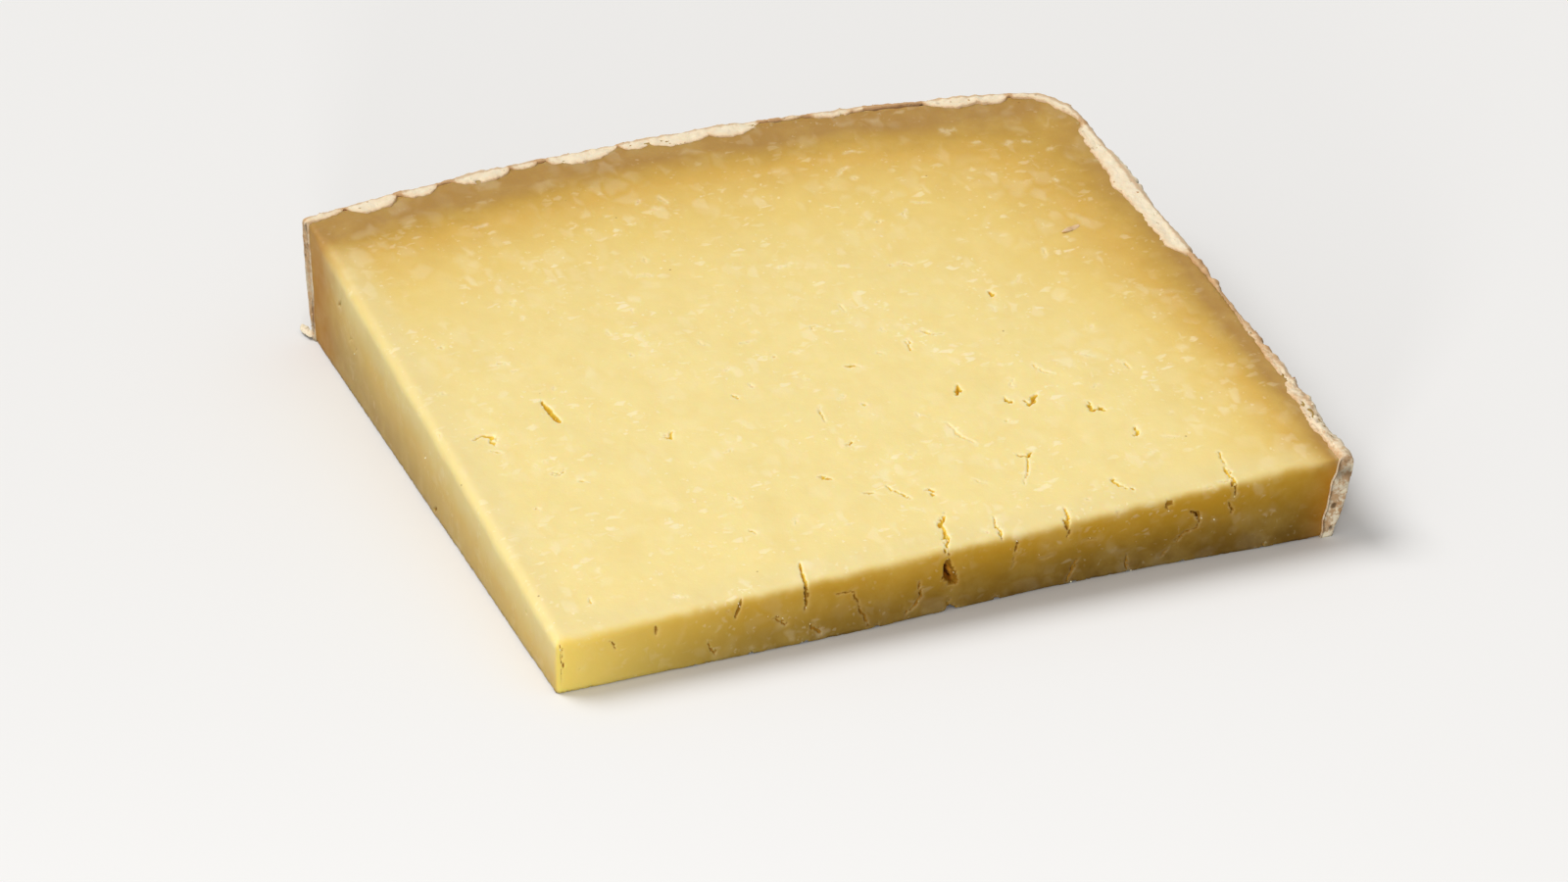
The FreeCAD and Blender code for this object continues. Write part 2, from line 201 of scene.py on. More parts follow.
def front_hollow(shape, x, z):
    """How far the hollowed front cut lies behind its upper edge."""
    from_middle = (x - shape.hollow_place) / shape.hollow_reach
    bow = np.clip(1 - from_middle**2, 0, 1) ** 2
    return shape.front_hollow * bow * smooth(0, 1, 1 - z / shape.hollow_height)


class CrustPath:
    """The crust's foot in plan: from the front cut along the end face, the shoulder and the wall."""

    STEP = 0.25 * MM

    def __init__(self, shape):
        end_foot = np.array([shape.front_length, 0.0])
        end_run = unit([-shape.end_taper, shape.left_length])
        inward = np.array([-end_run[1], end_run[0]])
        radius = shape.belly_radius
        crest_gain = radius - math.sqrt(radius**2 - shape.crest_place**2)
        belly = np.array([shape.crest_place, shape.left_length + crest_gain - radius])
        start = end_foot + inward * shape.shoulder_radius - belly
        reach = radius - shape.shoulder_radius
        across = start @ end_run
        along = math.sqrt(across**2 - start @ start + reach**2) - across
        centre = belly + start + end_run * along
        turn_in = math.atan2(-inward[1], -inward[0])
        turn_out = math.atan2(*(centre - belly)[::-1])
        wall_stop = math.atan2(shape.left_length - belly[1], shape.left_skew - belly[0])
        end = np.linspace(end_foot, centre - inward * shape.shoulder_radius, 50)
        shoulder = centre + shape.shoulder_radius * self.arc(turn_in, turn_out)
        wall = belly + radius * self.arc(turn_out, wall_stop)
        rough = np.vstack([end, shoulder[1:], wall[1:]])
        run = self.run(rough)
        self.length = run[-1]
        self.along = np.linspace(0, self.length, round(self.length / self.STEP))
        self.foot = np.stack([np.interp(self.along, run, rough[:, axis]) for axis in (0, 1)], axis=1)
        way = np.gradient(self.foot, self.along, axis=0)
        way = np.array([np.convolve(way[:, axis], np.ones(9) / 9, "same") for axis in (0, 1)]).T
        self.out = np.stack([way[:, 1], -way[:, 0]], axis=1)
        self.out /= np.linalg.norm(self.out, axis=1)[:, None]
        fade = np.clip(self.foot[:, 1] / centre[1], 0, 1)
        fade[self.foot[:, 0] < centre[0]] = 1
        self.lean = shape.end_lean + (shape.wall_lean - shape.end_lean) * fade
        self.height = paste_height(shape, self.foot[:, 0], self.foot[:, 1])

    @staticmethod
    def arc(first, last):
        """Places along a unit circle, from the first angle to the last."""
        angles = np.linspace(first, last, 90)
        return np.stack([np.cos(angles), np.sin(angles)], axis=1)

    @staticmethod
    def run(points):
        """Distance from the first point along a line of points."""
        return np.concatenate([[0], np.cumsum(np.linalg.norm(np.diff(points, axis=0), axis=1))])

    def at(self, values, along):
        """One of the path's rows of values at the given distances along it."""
        if values.ndim == 1:
            return np.interp(along, self.along, values)
        return np.stack([np.interp(along, self.along, values[:, axis]) for axis in (0, 1)], axis=1)


class Outline:
    """A convex plan outline: straight sides with rounded corners. It gives the nearest place on it."""

    def __init__(self, corners, radii):
        corners = np.asarray(corners, float)
        before, after = np.roll(corners, 1, axis=0), np.roll(corners, -1, axis=0)
        self.sides = []
        ends = []
        for corner, prior, following, radius in zip(corners, before, after, radii):
            way_in, way_out = unit(corner - prior), unit(following - corner)
            turn = math.acos(np.clip(way_in @ way_out, -1, 1))
            cut = radius * math.tan(turn / 2)
            out = np.array([way_in[1], -way_in[0]])
            ends.append((corner - way_in * cut, corner + way_out * cut, radius, turn, out))
        for index, (start, stop, radius, turn, out) in enumerate(ends):
            self.sides.append(("turn", start - out * radius, radius, turn, math.atan2(out[1], out[0])))
            target = ends[(index + 1) % len(ends)][0]
            self.sides.append(("straight", stop, unit(target - stop), np.linalg.norm(target - stop)))

    def nearest(self, points):
        """For each point: how far outside it is, and the nearest place and outward way on the outline."""
        best = np.full(len(points), np.inf)
        outside = np.zeros(len(points))
        place = np.zeros((len(points), 2))
        way = np.zeros((len(points), 2))
        for side in self.sides:
            if side[0] == "turn":
                _, centre, radius, turn, first = side
                offset = points - centre
                angle = (np.arctan2(offset[:, 1], offset[:, 0]) - first + math.pi) % (2 * math.pi) - math.pi
                angle = first + np.clip(angle, 0, turn)
                normal = np.stack([np.cos(angle), np.sin(angle)], axis=1)
                touch = centre + normal * radius
            else:
                _, start, run, reach = side
                along = np.clip((points - start) @ run, 0, reach)
                touch = start + along[:, None] * run
                normal = np.tile([run[1], -run[0]], (len(points), 1))
            gap = points - touch
            signed = np.einsum("ij,ij->i", gap, normal)
            distance = np.linalg.norm(gap, axis=1)
            better = distance < best
            best[better] = distance[better]
            outside[better] = signed[better]
            place[better] = touch[better]
            way[better] = normal[better]
        return outside, place, way


# ---------------------------------------------------------------------------------------- meshes and noise


def haze(points, size, seed=0.0):
    """Smooth noise between -1 and 1 at many places. Its waves are about as long as the size given."""
    shifted = np.asarray(points) / size + seed * 17.3
    return np.array([noise.noise(place) for place in shifted.tolist()])


def grit(points, size, seed=0.0, octaves=4):
    """Fractal noise at many places, from waves of the size given down to much smaller ones."""
    shifted = np.asarray(points) / size + seed * 17.3
    return np.array([noise.fractal(place, 0.8, 2.1, octaves) for place in shifted.tolist()])


def in_space(flat):
    """Plan places as places in space, at height zero."""
    return np.column_stack([flat, np.zeros(len(flat))])


def smooth(low, high, value):
    """A smooth step from 0 at low to 1 at high."""
    share = np.clip((value - low) / (high - low), 0, 1)
    return share * share * (3 - 2 * share)


def make_mesh(name, places, faces, material):
    """A smooth-shaded mesh object at the origin."""
    mesh = bpy.data.meshes.new(name)
    mesh.from_pydata(np.asarray(places).tolist(), [], faces)
    mesh.validate()
    mesh.polygons.foreach_set("use_smooth", np.ones(len(mesh.polygons), bool))
    mesh.materials.append(material)
    mesh.update()
    piece = bpy.data.objects.new(name, mesh)
    bpy.context.collection.objects.link(piece)
    return piece


def set_attribute(piece, name, values):
    """Stores one number for each point of a piece's mesh."""
    attribute = piece.data.attributes.new(name, "FLOAT", "POINT")
    attribute.data.foreach_set("value", np.asarray(values, np.float32))


def triangulate(points, rim):
    """Triangles over flat points inside a rim. The first points are the rim, in order, counterclockwise."""
    loop = [list(range(rim))]
    result = delaunay_2d_cdt([Vector(point) for point in points.tolist()], [], loop, 1, 1e-9, True)
    flat, faces, origins = result[0], result[2], [origin[0] for origin in result[3]]
    # The triangles fill the rim's convex hull. Those outside the rim are found edge by edge and left out.
    number = {origin: index for index, origin in enumerate(origins)}
    fence = {(number[index], number[(index + 1) % rim]) for index in range(rim)}
    beside = {edge: index for index, face in enumerate(faces) for edge in zip(face, face[1:] + face[:1])}
    waiting = [beside[stop, start] for start, stop in fence if (stop, start) in beside]
    outside = set(waiting)
    while waiting:
        face = faces[waiting.pop()]
        for start, stop in zip(face, face[1:] + face[:1]):
            across = beside.get((stop, start))
            if across is not None and across not in outside and (stop, start) not in fence:
                outside.add(across)
                waiting.append(across)
    faces = [face for index, face in enumerate(faces) if index not in outside]
    return np.array([place[:] for place in flat]), faces, origins


def jittered_grid(low, high, step, jitter, chance):
    """Points of a triangular grid over a box, each moved a little."""
    columns = np.arange(low[0], high[0], step)
    rows = np.arange(low[1], high[1], step * math.sqrt(0.75))
    x, y = np.meshgrid(columns, rows)
    x[1::2] += step / 2
    points = np.stack([x.ravel(), y.ravel()], axis=1)
    return points + (chance.random(points.shape) - 0.5) * step * jitter


# ---------------------------------------------------------------------------------------- paste


class PasteSkin:
    """The paste's surface, unrolled into its plan: past the edge, a plan place runs on down the side."""

    def __init__(self, shape, paste, path):
        self.shape = shape
        self.edge_radius = paste.edge_radius
        self.hidden_radius = 0.4 * MM
        self.foot_radius = paste.foot_radius
        self.origin = corner_of_foot()
        # Under the crust, the paste's outline stays inside the crust's outer surface. It has straight sides,
        # so the wall's belly is followed from mark to mark, as shares of the path.
        inset = 1.45 * MM
        edge = path.foot + path.out * (path.lean * path.height - inset)[:, None]
        marks = np.interp(np.array([0.62, 0.70, 0.79, 0.88]) * path.length, path.along, np.arange(len(edge)))
        end_stop = np.argmax(path.out[:, 1] > 0.35)  # early in the shoulder
        wall_start = np.argmax(path.out[:, 1] > 0.965)  # at its end
        end_way, wall_way = path.out[end_stop // 2], path.out[wall_start]
        self.end_place, self.end_way = edge[0], end_way
        self.wall = edge[: wall_start : -40]
        shoulder = self.crossing(edge[0], end_way, edge[wall_start], wall_way)
        wall = [edge[round(mark)] for mark in marks]
        corners = [(0.0, 0.0), edge[0], shoulder] + wall + [edge[-1]]
        turn = shape.shoulder_radius + path.lean[wall_start] * path.height[wall_start] - inset
        radii = [paste.corner_radius, 1.0 * MM, turn] + [0.2] * len(wall) + [1.0 * MM]
        self.outline = Outline(corners, radii)

    @staticmethod
    def crossing(first, first_way, second, second_way):
        """Where two straight lines cross. Each is given by a place on it and its outward way."""
        return np.linalg.solve(np.array([first_way, second_way]), [first @ first_way, second @ second_way])

    def top_radius(self, place):
        """Radius of the upper edge at places on the outline: soft on the cuts, small under the crust."""
        end_gap = (self.end_place - place) @ self.end_way
        wall_gap = np.interp(place[:, 0], self.wall[:, 0], self.wall[:, 1]) - place[:, 1]
        open_share = smooth(2 * MM, 12 * MM, np.minimum(end_gap, wall_gap))
        return self.hidden_radius + (self.edge_radius - self.hidden_radius) * open_share

    def side_run(self, place):
        """How far the surface runs from the start of the upper edge's rounding down to the foot."""
        height = paste_height(self.shape, place[:, 0], place[:, 1])
        radius = self.top_radius(place)
        return height - radius - self.foot_radius + (radius + self.foot_radius) * math.pi / 2

    def rim(self, step):
        """The plan places of the foot's edge, counterclockwise."""
        places = []
        ways = []
        for side in self.outline.sides:
            if side[0] == "turn":
                _, centre, radius, turn, first = side
                count = max(3, math.ceil((radius + self.shape.thin_height) * turn / step / 1.5))
                angles = first + np.linspace(0, turn, count, endpoint=False)
                way = np.stack([np.cos(angles), np.sin(angles)], axis=1)
                places.append(centre + way * radius)
            else:
                _, start, run, reach = side
                count = max(1, round(reach / step))
                places.append(start + np.linspace(0, reach, count, endpoint=False)[:, None] * run)
                way = np.tile([run[1], -run[0]], (count, 1))
            ways.append(way)
        place, way = np.vstack(places), np.vstack(ways)
        return place + way * (self.side_run(place) - self.top_radius(place))[:, None]

    def lift(self, flat):
        """Places in space and outward ways of unrolled places, in the slice's own plan coordinates."""
        outside, place, way = self.outline.nearest(flat)
        radius = self.top_radius(place)
        run = outside + radius
        edge_height = paste_height(self.shape, place[:, 0], place[:, 1])
        arc = radius * math.pi / 2
        straight = edge_height - radius - self.foot_radius
        bend = np.clip(run / radius, 0, math.pi / 2)
        down = np.clip(run - arc, 0, straight)
        foot_bend = np.clip((run - arc - straight) / self.foot_radius, 0, math.pi / 2)
        shift = radius * (np.sin(bend) - 1) - self.foot_radius * (1 - np.cos(foot_bend))
        plan = np.where((run > 0)[:, None], place + way * shift[:, None], flat)
        height = paste_height(self.shape, plan[:, 0], plan[:, 1])
        height = height - radius * (1 - np.cos(bend)) - down - self.foot_radius * np.sin(foot_bend)
        # Toward the front edge the top rolls down a little before the rounding starts.
        roll = np.clip(1 - plan[:, 1] / self.shape.roll_reach, 0, 1)
        height = height - self.shape.roll_depth * roll**2 * (1 - bend / (math.pi / 2))
        height = np.maximum(height, 0)
        plan = plan + np.where((run > 0)[:, None], self.side_shift(plan, height, edge_height - height), 0)
        level = np.sin(bend) * np.cos(foot_bend)
        upward = np.cos(bend) - np.sin(foot_bend)
        outward = np.column_stack([way * level[:, None], upward])
        return np.column_stack([plan, height]), outward

    def side_shift(self, plan, height, drop):
        """Plan shift of a side's places: the front's hollow, and the lean of the end face and the wall."""
        shape = self.shape
        reach = 35 * MM
        near_end = np.clip(1 - (self.end_place - plan) @ self.end_way / reach, 0, 1)
        wall_y = np.interp(plan[:, 0], self.wall[:, 0], self.wall[:, 1])
        near_wall = np.clip(1 - (wall_y - plan[:, 1]) / reach, 0, 1)
        near_front = np.clip(1 - plan[:, 1] / reach, 0, 1)
        back = np.clip(plan[:, 1] / shape.left_length, 0, 1)
        end_lean = shape.end_lean + (shape.wall_lean - shape.end_lean) * back
        shift = -self.end_way * (end_lean * drop * near_end)[:, None]
        hollow = front_hollow(shape, plan[:, 0], height) * near_front
        shift[:, 1] += hollow - shape.wall_lean * drop * near_wall
        return shift

    def on_top(self, x, y):
        """Unrolled place of a place on the top, in millimetres from the foot's sharp corner."""
        return np.array([x, y]) * MM

    def on_front(self, x, z):
        """Unrolled place of a place on the front cut, in millimetres along it and up it."""
        height = paste_height(self.shape, x * MM, 0)
        return np.array([x * MM, -(self.edge_radius * (math.pi / 2 - 2) + height - z * MM)])

    def on_left(self, y, z):
        """Unrolled place of a place on the left cut, in millimetres along it and up it."""
        height = paste_height(self.shape, 0, y * MM)
        return np.array([-(self.edge_radius * (math.pi / 2 - 2) + height - z * MM), y * MM])


class Opening:
    """A slit, pit or tear: a line on the unrolled skin, with a width, a depth and a widest place along it."""

    def __init__(self, line, width, depth, widest=0.5, ragged=0.8):
        self.line = np.asarray(line, float)
        self.width = width * MM
        self.depth = depth * MM
        self.widest = widest
        self.ragged = ragged

    def box(self, margin):
        """The low and high corners of the line's box, with a margin round it."""
        return self.line.min(axis=0) - margin, self.line.max(axis=0) + margin

    def measure(self, flat):
        """Distance of flat places from the line, and how far along it the nearest place is, from 0 to 1."""
        run = CrustPath.run(self.line)
        distance = np.full(len(flat), np.inf)
        share = np.zeros(len(flat))
        for index, (start, stop) in enumerate(zip(self.line, self.line[1:])):
            reach = run[index + 1] - run[index]
            way = (stop - start) / reach
            along = np.clip((flat - start) @ way, 0, reach)
            gap = np.linalg.norm(flat - start - along[:, None] * way, axis=1)
            closer = gap < distance
            distance[closer] = gap[closer]
            share[closer] = (run[index] + along[closer]) / run[-1]
        return distance, share

    def sink(self, flat, seed):
        """Depth of the opening, and the strength of its torn pale rim, at flat places."""
        places = in_space(flat)
        cells = (places / (1.3 * MM) + seed).tolist()
        curds = np.array([noise.cell_vector(place)[:2] for place in cells]) - 0.5
        sway = np.column_stack([haze(places, 2.3 * MM, seed + 0.3), haze(places, 2.3 * MM, seed + 0.6)])
        distance, share = self.measure(flat + self.ragged * (1.0 * MM * curds + 0.7 * MM * sway))
        toward_end = np.where(share < self.widest, share / self.widest, (1 - share) / (1 - self.widest))
        jag = 1 + self.ragged * haze(places, 0.9 * MM, seed)
        half = self.width / 2 * (0.25 + 0.75 * np.sqrt(toward_end)) * jag
        within = smooth(0, 1, (half - distance) / (0.55 * self.width) + 0.25)
        sunk = self.depth * within * (distance < half * 1.6)
        rim = np.exp(-(((distance - half) / (0.55 * MM)) ** 2))
        return sunk, rim


def named_openings(skin):
    """The slits and pits that are placed one by one, as lines on the top, over its edge and down the front.
    """
    top, front, left = skin.on_top, skin.on_front, skin.on_left
    return [
        Opening([top(27.9, 84.6), top(28.4, 80.0), top(29.0, 75.6)], 2.0, 4.6, 0.8, 0.3),
        Opening([top(8.4, 76.4), top(11.0, 76.8), top(12.9, 75.6), top(12.0, 72.6)], 1.7, 1.0, 0.7),
        Opening([top(20.3, 57.9), top(22.4, 57.4), top(23.9, 58.3)], 1.0, 0.8),
        Opening([top(49.2, 62.6), top(50.0, 61.4), top(51.6, 63.0)], 2.0, 1.0),
        Opening([top(69.2, 71.2), top(70.0, 69.8), top(70.9, 70.0)], 0.9, 1.4),
        Opening([top(54.6, 22.4), top(55.9, 20.6)], 0.9, 1.4),
        Opening([top(118.8, 56.6), top(117.4, 52.9)], 1.5, 2.6),
        Opening([top(127.6, 48.1), top(127.7, 45.9)], 1.4, 2.2),
        Opening([top(130.4, 46.2), top(131.2, 44.0), top(134.4, 47.0)], 1.4, 2.4, 0.75),
        Opening([top(144.1, 40.4), top(143.7, 37.2), top(146.4, 35.7)], 1.4, 2.4, 0.7),
        Opening([top(151.0, 27.4), top(149.3, 24.2)], 1.2, 1.2),
        Opening([top(85.6, 59.2), top(85.5, 54.2)], 0.6, 1.4, 0.4, 0.3),
        Opening([top(86.5, 44.0), top(89.0, 45.5)], 1.0, 1.3),
        Opening([top(111.1, 44.2), top(111.9, 39.1), top(114.2, 34.2)], 1.3, 0.45),
        Opening([top(121.6, 27.4), top(123.2, 25.2), top(124.9, 27.0)], 1.5, 1.8),
        Opening([top(123.0, 25.6), top(121.6, 21.4), top(118.5, 16.3)], 0.7, 1.1, 0.2, 0.3),
        Opening([top(76.7, 35.5), top(78.6, 33.8)], 1.2, 1.4),
        Opening([top(83.5, 26.0), top(85.8, 25.4)], 1.0, 1.4),
        Opening([top(89.7, 27.0), top(90.7, 23.6), top(92.3, 20.5)], 0.9, 1.6, 0.6),
        Opening([top(97.4, 22.0), top(98.4, 19.5)], 1.1, 1.3),
        Opening([top(137.5, 11.4), top(138.3, 8.0), top(140.7, 5.9)], 1.3, 1.8, 0.25),
        Opening([top(139.8, 88.3), top(139.6, 85.7)], 1.1, 1.8, 0.6),
        Opening([top(114.9, 76.6), top(113.8, 73.4)], 1.2, 1.2),
        Opening([top(97.8, 72.5), top(99.8, 72.1)], 1.0, 1.1),
        Opening([top(118.4, 79.4), top(120.8, 77.2), top(123.4, 76.0)], 1.0, 0.6),
        Opening([top(138.2, 57.8), top(139.3, 54.5), top(141.4, 52.4)], 1.2, 0.4),
        Opening(
            [top(60.6, 7.4), top(59.4, 1.6), front(59.2, 14.6), front(59.6, 12.4), front(59.2, 8.6)],
            1.2, 2.8, 0.45, 0.35,
        ),
        Opening(
            [top(97.6, 12.2), top(95.2, 9.8), top(94.8, 4.2), front(93.4, 18.0), front(93.6, 15.6)],
            1.4, 1.8, 0.25,
        ),
        Opening([top(123.9, 5.2), top(122.8, 0.8), front(122.3, 17.0), front(122.7, 14.0)], 1.3, 1.8, 0.6),
        Opening([top(164.4, 12.0), top(163.4, 3.6), front(163.2, 18.2), front(163.8, 15.0)], 1.1, 1.6, 0.6),
        Opening([top(107.5, 7.3), top(106.8, 5.0), front(106.6, 16.4)], 0.8, 1.2),
        Opening([front(93.4, 13.9), front(93.6, 10.0), front(95.4, 7.4)], 4.4, 7.0, 0.75, 0.5),
        Opening([front(44.1, 15.0), front(42.4, 10.3)], 1.1, 2.2, 0.5, 0.25),
        Opening([front(13.1, 11.0), front(14.4, 8.4)], 0.9, 1.2),
        Opening([front(23.6, 12.5), front(23.9, 10.1)], 1.2, 1.0),
        Opening([front(36.0, 5.2), front(37.8, 1.8)], 0.8, 1.2),
        Opening([front(51.4, 8.6), front(54.4, 6.0)], 0.9, 1.4),
        Opening([front(60.4, 5.2), front(62.9, 1.4)], 1.2, 1.6),
        Opening([front(66.3, 11.3), front(70.4, 10.8), front(72.3, 5.4), front(75.3, 0.4)], 0.8, 1.6, 0.85),
        Opening([front(86.4, 10.0), front(86.9, 5.4), front(83.2, 1.6)], 0.9, 2.0, 0.4),
        Opening([front(93.9, 3.4), front(94.4, 0.4)], 0.9, 2.0),
        Opening([front(110.1, 15.4), front(109.8, 12.8)], 1.2, 2.6),
        Opening([front(109.9, 11.4), front(108.6, 7.6)], 0.6, 0.8),
        Opening([front(125.3, 6.8), front(124.6, 3.8), front(123.2, 1.2)], 1.3, 2.2),
        Opening([front(137.0, 5.4), front(138.0, 0.8)], 0.8, 1.8),
        Opening([front(147.2, 18.0), front(147.3, 15.4)], 1.9, 1.6),
        Opening([front(152.5, 13.6), front(154.9, 12.2), front(154.8, 9.6)], 1.4, 3.0, 0.4),
        Opening([front(154.7, 9.8), front(151.4, 8.3), front(149.0, 6.2)], 1.0, 1.8),
        Opening([front(162.1, 13.6), front(163.7, 11.0)], 0.9, 1.4),
        Opening([front(1.2, 12.6), front(1.5, 6.4), front(0.4, 2.2)], 0.8, 1.4, 0.7),
        Opening([left(148.0, 22.5), left(150.5, 20.0)], 0.9, 1.0),
        Opening([left(81.0, 4.0), left(83.0, 2.0)], 1.0, 1.2),
    ] + foot_chips(skin)


def foot_chips(skin):
    """Chips out of the foot of the front cut: place along it, height, width and depth in millimetres."""
    chips = [
        (32.0, 0.8, 2.6, 1.6),
        (46.5, 0.9, 3.0, 2.0),
        (59.3, 1.6, 3.8, 2.4),
        (76.6, 1.4, 3.2, 2.2),
        (94.8, 2.2, 4.4, 2.8),
        (105.3, 1.5, 3.4, 2.4),
        (124.6, 1.3, 3.2, 2.4),
        (138.0, 1.2, 2.6, 2.2),
        (151.2, 1.4, 2.4, 2.2),
        (158.4, 1.0, 1.8, 1.8),
        (173.0, 2.0, 1.6, 2.6),
    ]
    below = -0.6  # how far the middle of a chip lies under the foot
    openings = []
    for along, height, width, depth in chips:
        line = [skin.on_front(along - width / 3, below), skin.on_front(along + width / 3, below)]
        openings.append(Opening(line, 2 * height - 2 * below, depth))
    return openings


def chance_openings(skin, paste):
    """Small pits and short tears, strewn over the cut faces."""
    chance = random.Random(paste.seed)
    shape = skin.shape
    openings = []
    side = shape.thin_height / MM
    for _ in range(paste.pit_count):
        x = chance.uniform(-side, (shape.front_length - 12 * MM) / MM)
        y = chance.uniform(-side, (shape.left_length - 14 * MM) / MM)
        angle = chance.uniform(0, math.pi)
        reach = 0.4 + 1.5 * chance.random() ** 2
        step = np.array([math.cos(angle), math.sin(angle)]) * reach
        bend = np.array([-step[1], step[0]]) * chance.uniform(-0.4, 0.4)
        middle = np.array([x, y])
        line = np.array([middle - step, middle + bend, middle + step]) * MM
        width = 0.35 + 0.6 * chance.random() ** 2
        openings.append(Opening(line, width, width * chance.uniform(0.5, 1.1), 0.5, 0.6))
    return openings


def paste_points(skin, paste, openings):
    """Unrolled points of the paste's skin: its rim first, then a coarse grid, finer round the openings."""
    chance = np.random.default_rng(paste.seed)
    rim = skin.rim(paste.grain)
    low, high = rim.min(axis=0), rim.max(axis=0)
    coarse = jittered_grid(low, high, paste.grain, 0.35, chance)
    fine = []
    crowded = np.zeros(len(coarse), bool)
    for opening in openings:
        margin = opening.width / 2 + 1.0 * MM
        box_low, box_high = opening.box(margin)
        patch = jittered_grid(box_low, box_high, paste.fine_grain, 0.2, chance)
        fine.append(patch[opening.measure(patch)[0] < margin])
        near = np.all((coarse > box_low) & (coarse < box_high), axis=1)
        crowded[near] |= opening.measure(coarse[near])[0] < margin
    fine = np.vstack(fine)
    # Patches of neighbouring openings overlap, so of points in one small cell only the first is kept.
    cells = np.unique(np.round(fine / (paste.fine_grain * 0.8)).astype(int), axis=0, return_index=True)[1]
    inner = np.vstack([coarse[~crowded], fine[np.sort(cells)]])
    outside, place, _ = skin.outline.nearest(inner)
    inner = inner[outside + skin.top_radius(place) < skin.side_run(place) - 0.5 * paste.fine_grain]
    return np.vstack([rim, inner]), len(rim)


def ripeness(skin, places):
    """How far the paste has browned at places: 0 in the heart, about 1 under the crust."""
    plan = places[:, :2]
    wall_gap = np.interp(plan[:, 0], skin.wall[:, 0], skin.wall[:, 1]) - plan[:, 1]
    end_gap = (skin.end_place - plan) @ skin.end_way
    by_wall = np.minimum(np.exp((7.7 * MM - wall_gap) / (21 * MM)), 1.15)
    reach = 10.5 * MM + 10 * MM * smooth(35 * MM, 115 * MM, plan[:, 1])
    by_end = np.minimum(np.exp((3.7 * MM - end_gap) / reach), 1.15)
    return 1 - (1 - by_wall) * (1 - by_end)


def make_paste(shape, paste, material):
    """The paste: a closed skin over all its cut faces and its foot, with every opening sunk into it."""
    path = CrustPath(shape)
    skin = PasteSkin(shape, paste, path)
    openings = named_openings(skin) + chance_openings(skin, paste)
    for opening in openings:
        opening.width *= paste.openness
        opening.depth *= paste.sunkness
    points, rim = paste_points(skin, paste, openings)
    flat, faces, origins = triangulate(points, rim)
    sunk = np.zeros(len(flat))
    torn = np.zeros(len(flat))
    for index, opening in enumerate(openings):
        low, high = opening.box(opening.width + 2 * MM)
        near = np.flatnonzero(np.all((flat > low) & (flat < high), axis=1))
        depth, edge = opening.sink(flat[near], index)
        sunk[near] = np.maximum(sunk[near], depth)
        torn[near] = np.maximum(torn[near], edge)
    places, outward = skin.lift(flat)
    outside, place, way = skin.outline.nearest(flat)
    run = outside + skin.top_radius(place)
    bare = (skin.top_radius(place) - skin.hidden_radius) / (skin.edge_radius - skin.hidden_radius)
    shown = smooth(0, 2 * MM, places[:, 2]) * np.where(run > 0, bare, 1)
    waves = haze(places, 16 * MM) + 0.5 * haze(places, 7 * MM, 1)
    relief = paste.waviness * waves + paste.roughness * grit(places, 2.6 * MM, 2)
    moved = places + outward * (relief * shown - sunk)[:, None]
    moved[:, 2] = np.maximum(moved[:, 2], 0)

    # The foot is a coarse sheet that shares the skin's rim.
    position = np.argsort(origins)
    ring = position[:rim]
    low, high = moved[ring, :2].min(axis=0), moved[ring, :2].max(axis=0)
    inner = jittered_grid(low, high, paste.foot_grain, 0.3, np.random.default_rng(paste.seed))
    outside = skin.outline.nearest(inner)[0]
    inner = inner[outside < -5 * MM]
    foot_flat, foot_faces, foot_origins = triangulate(np.vstack([moved[ring, :2], inner]), rim)
    count = len(moved)
    numbers = np.array(
        [ring[origin] if origin < rim else count + index for index, origin in enumerate(foot_origins)]
    )
    foot_places = in_space(foot_flat)
    faces = faces + [tuple(numbers[list(face)][::-1].tolist()) for face in foot_faces]
    moved = np.vstack([moved, foot_places])
    everywhere = np.vstack([places, foot_places])
    spare = np.zeros(len(foot_places))
    foot_run = 14  # how far past the edge the foot counts as, in millimetres
    # The corner attribute is 1 at the sharp corner and fades along the front; it places the painted light
    # there.
    glow = np.maximum(everywhere[:, 0], 0) / (27 * MM)

    piece = make_mesh("cheese_paste", moved + [*skin.origin, 0], faces, material)
    set_attribute(piece, "past_edge", np.concatenate([run / MM, spare + foot_run]))
    set_attribute(piece, "front_cut", np.concatenate([smooth(0.3, 0.9, -way[:, 1]), spare]))
    set_attribute(piece, "corner", np.exp(-(glow**1.2)))
    set_attribute(piece, "ripeness", ripeness(skin, everywhere))
    set_attribute(piece, "opening", np.concatenate([sunk / MM, spare]))
    set_attribute(piece, "torn", np.concatenate([torn, spare]))
    return piece


# ---------------------------------------------------------------------------------------- crust


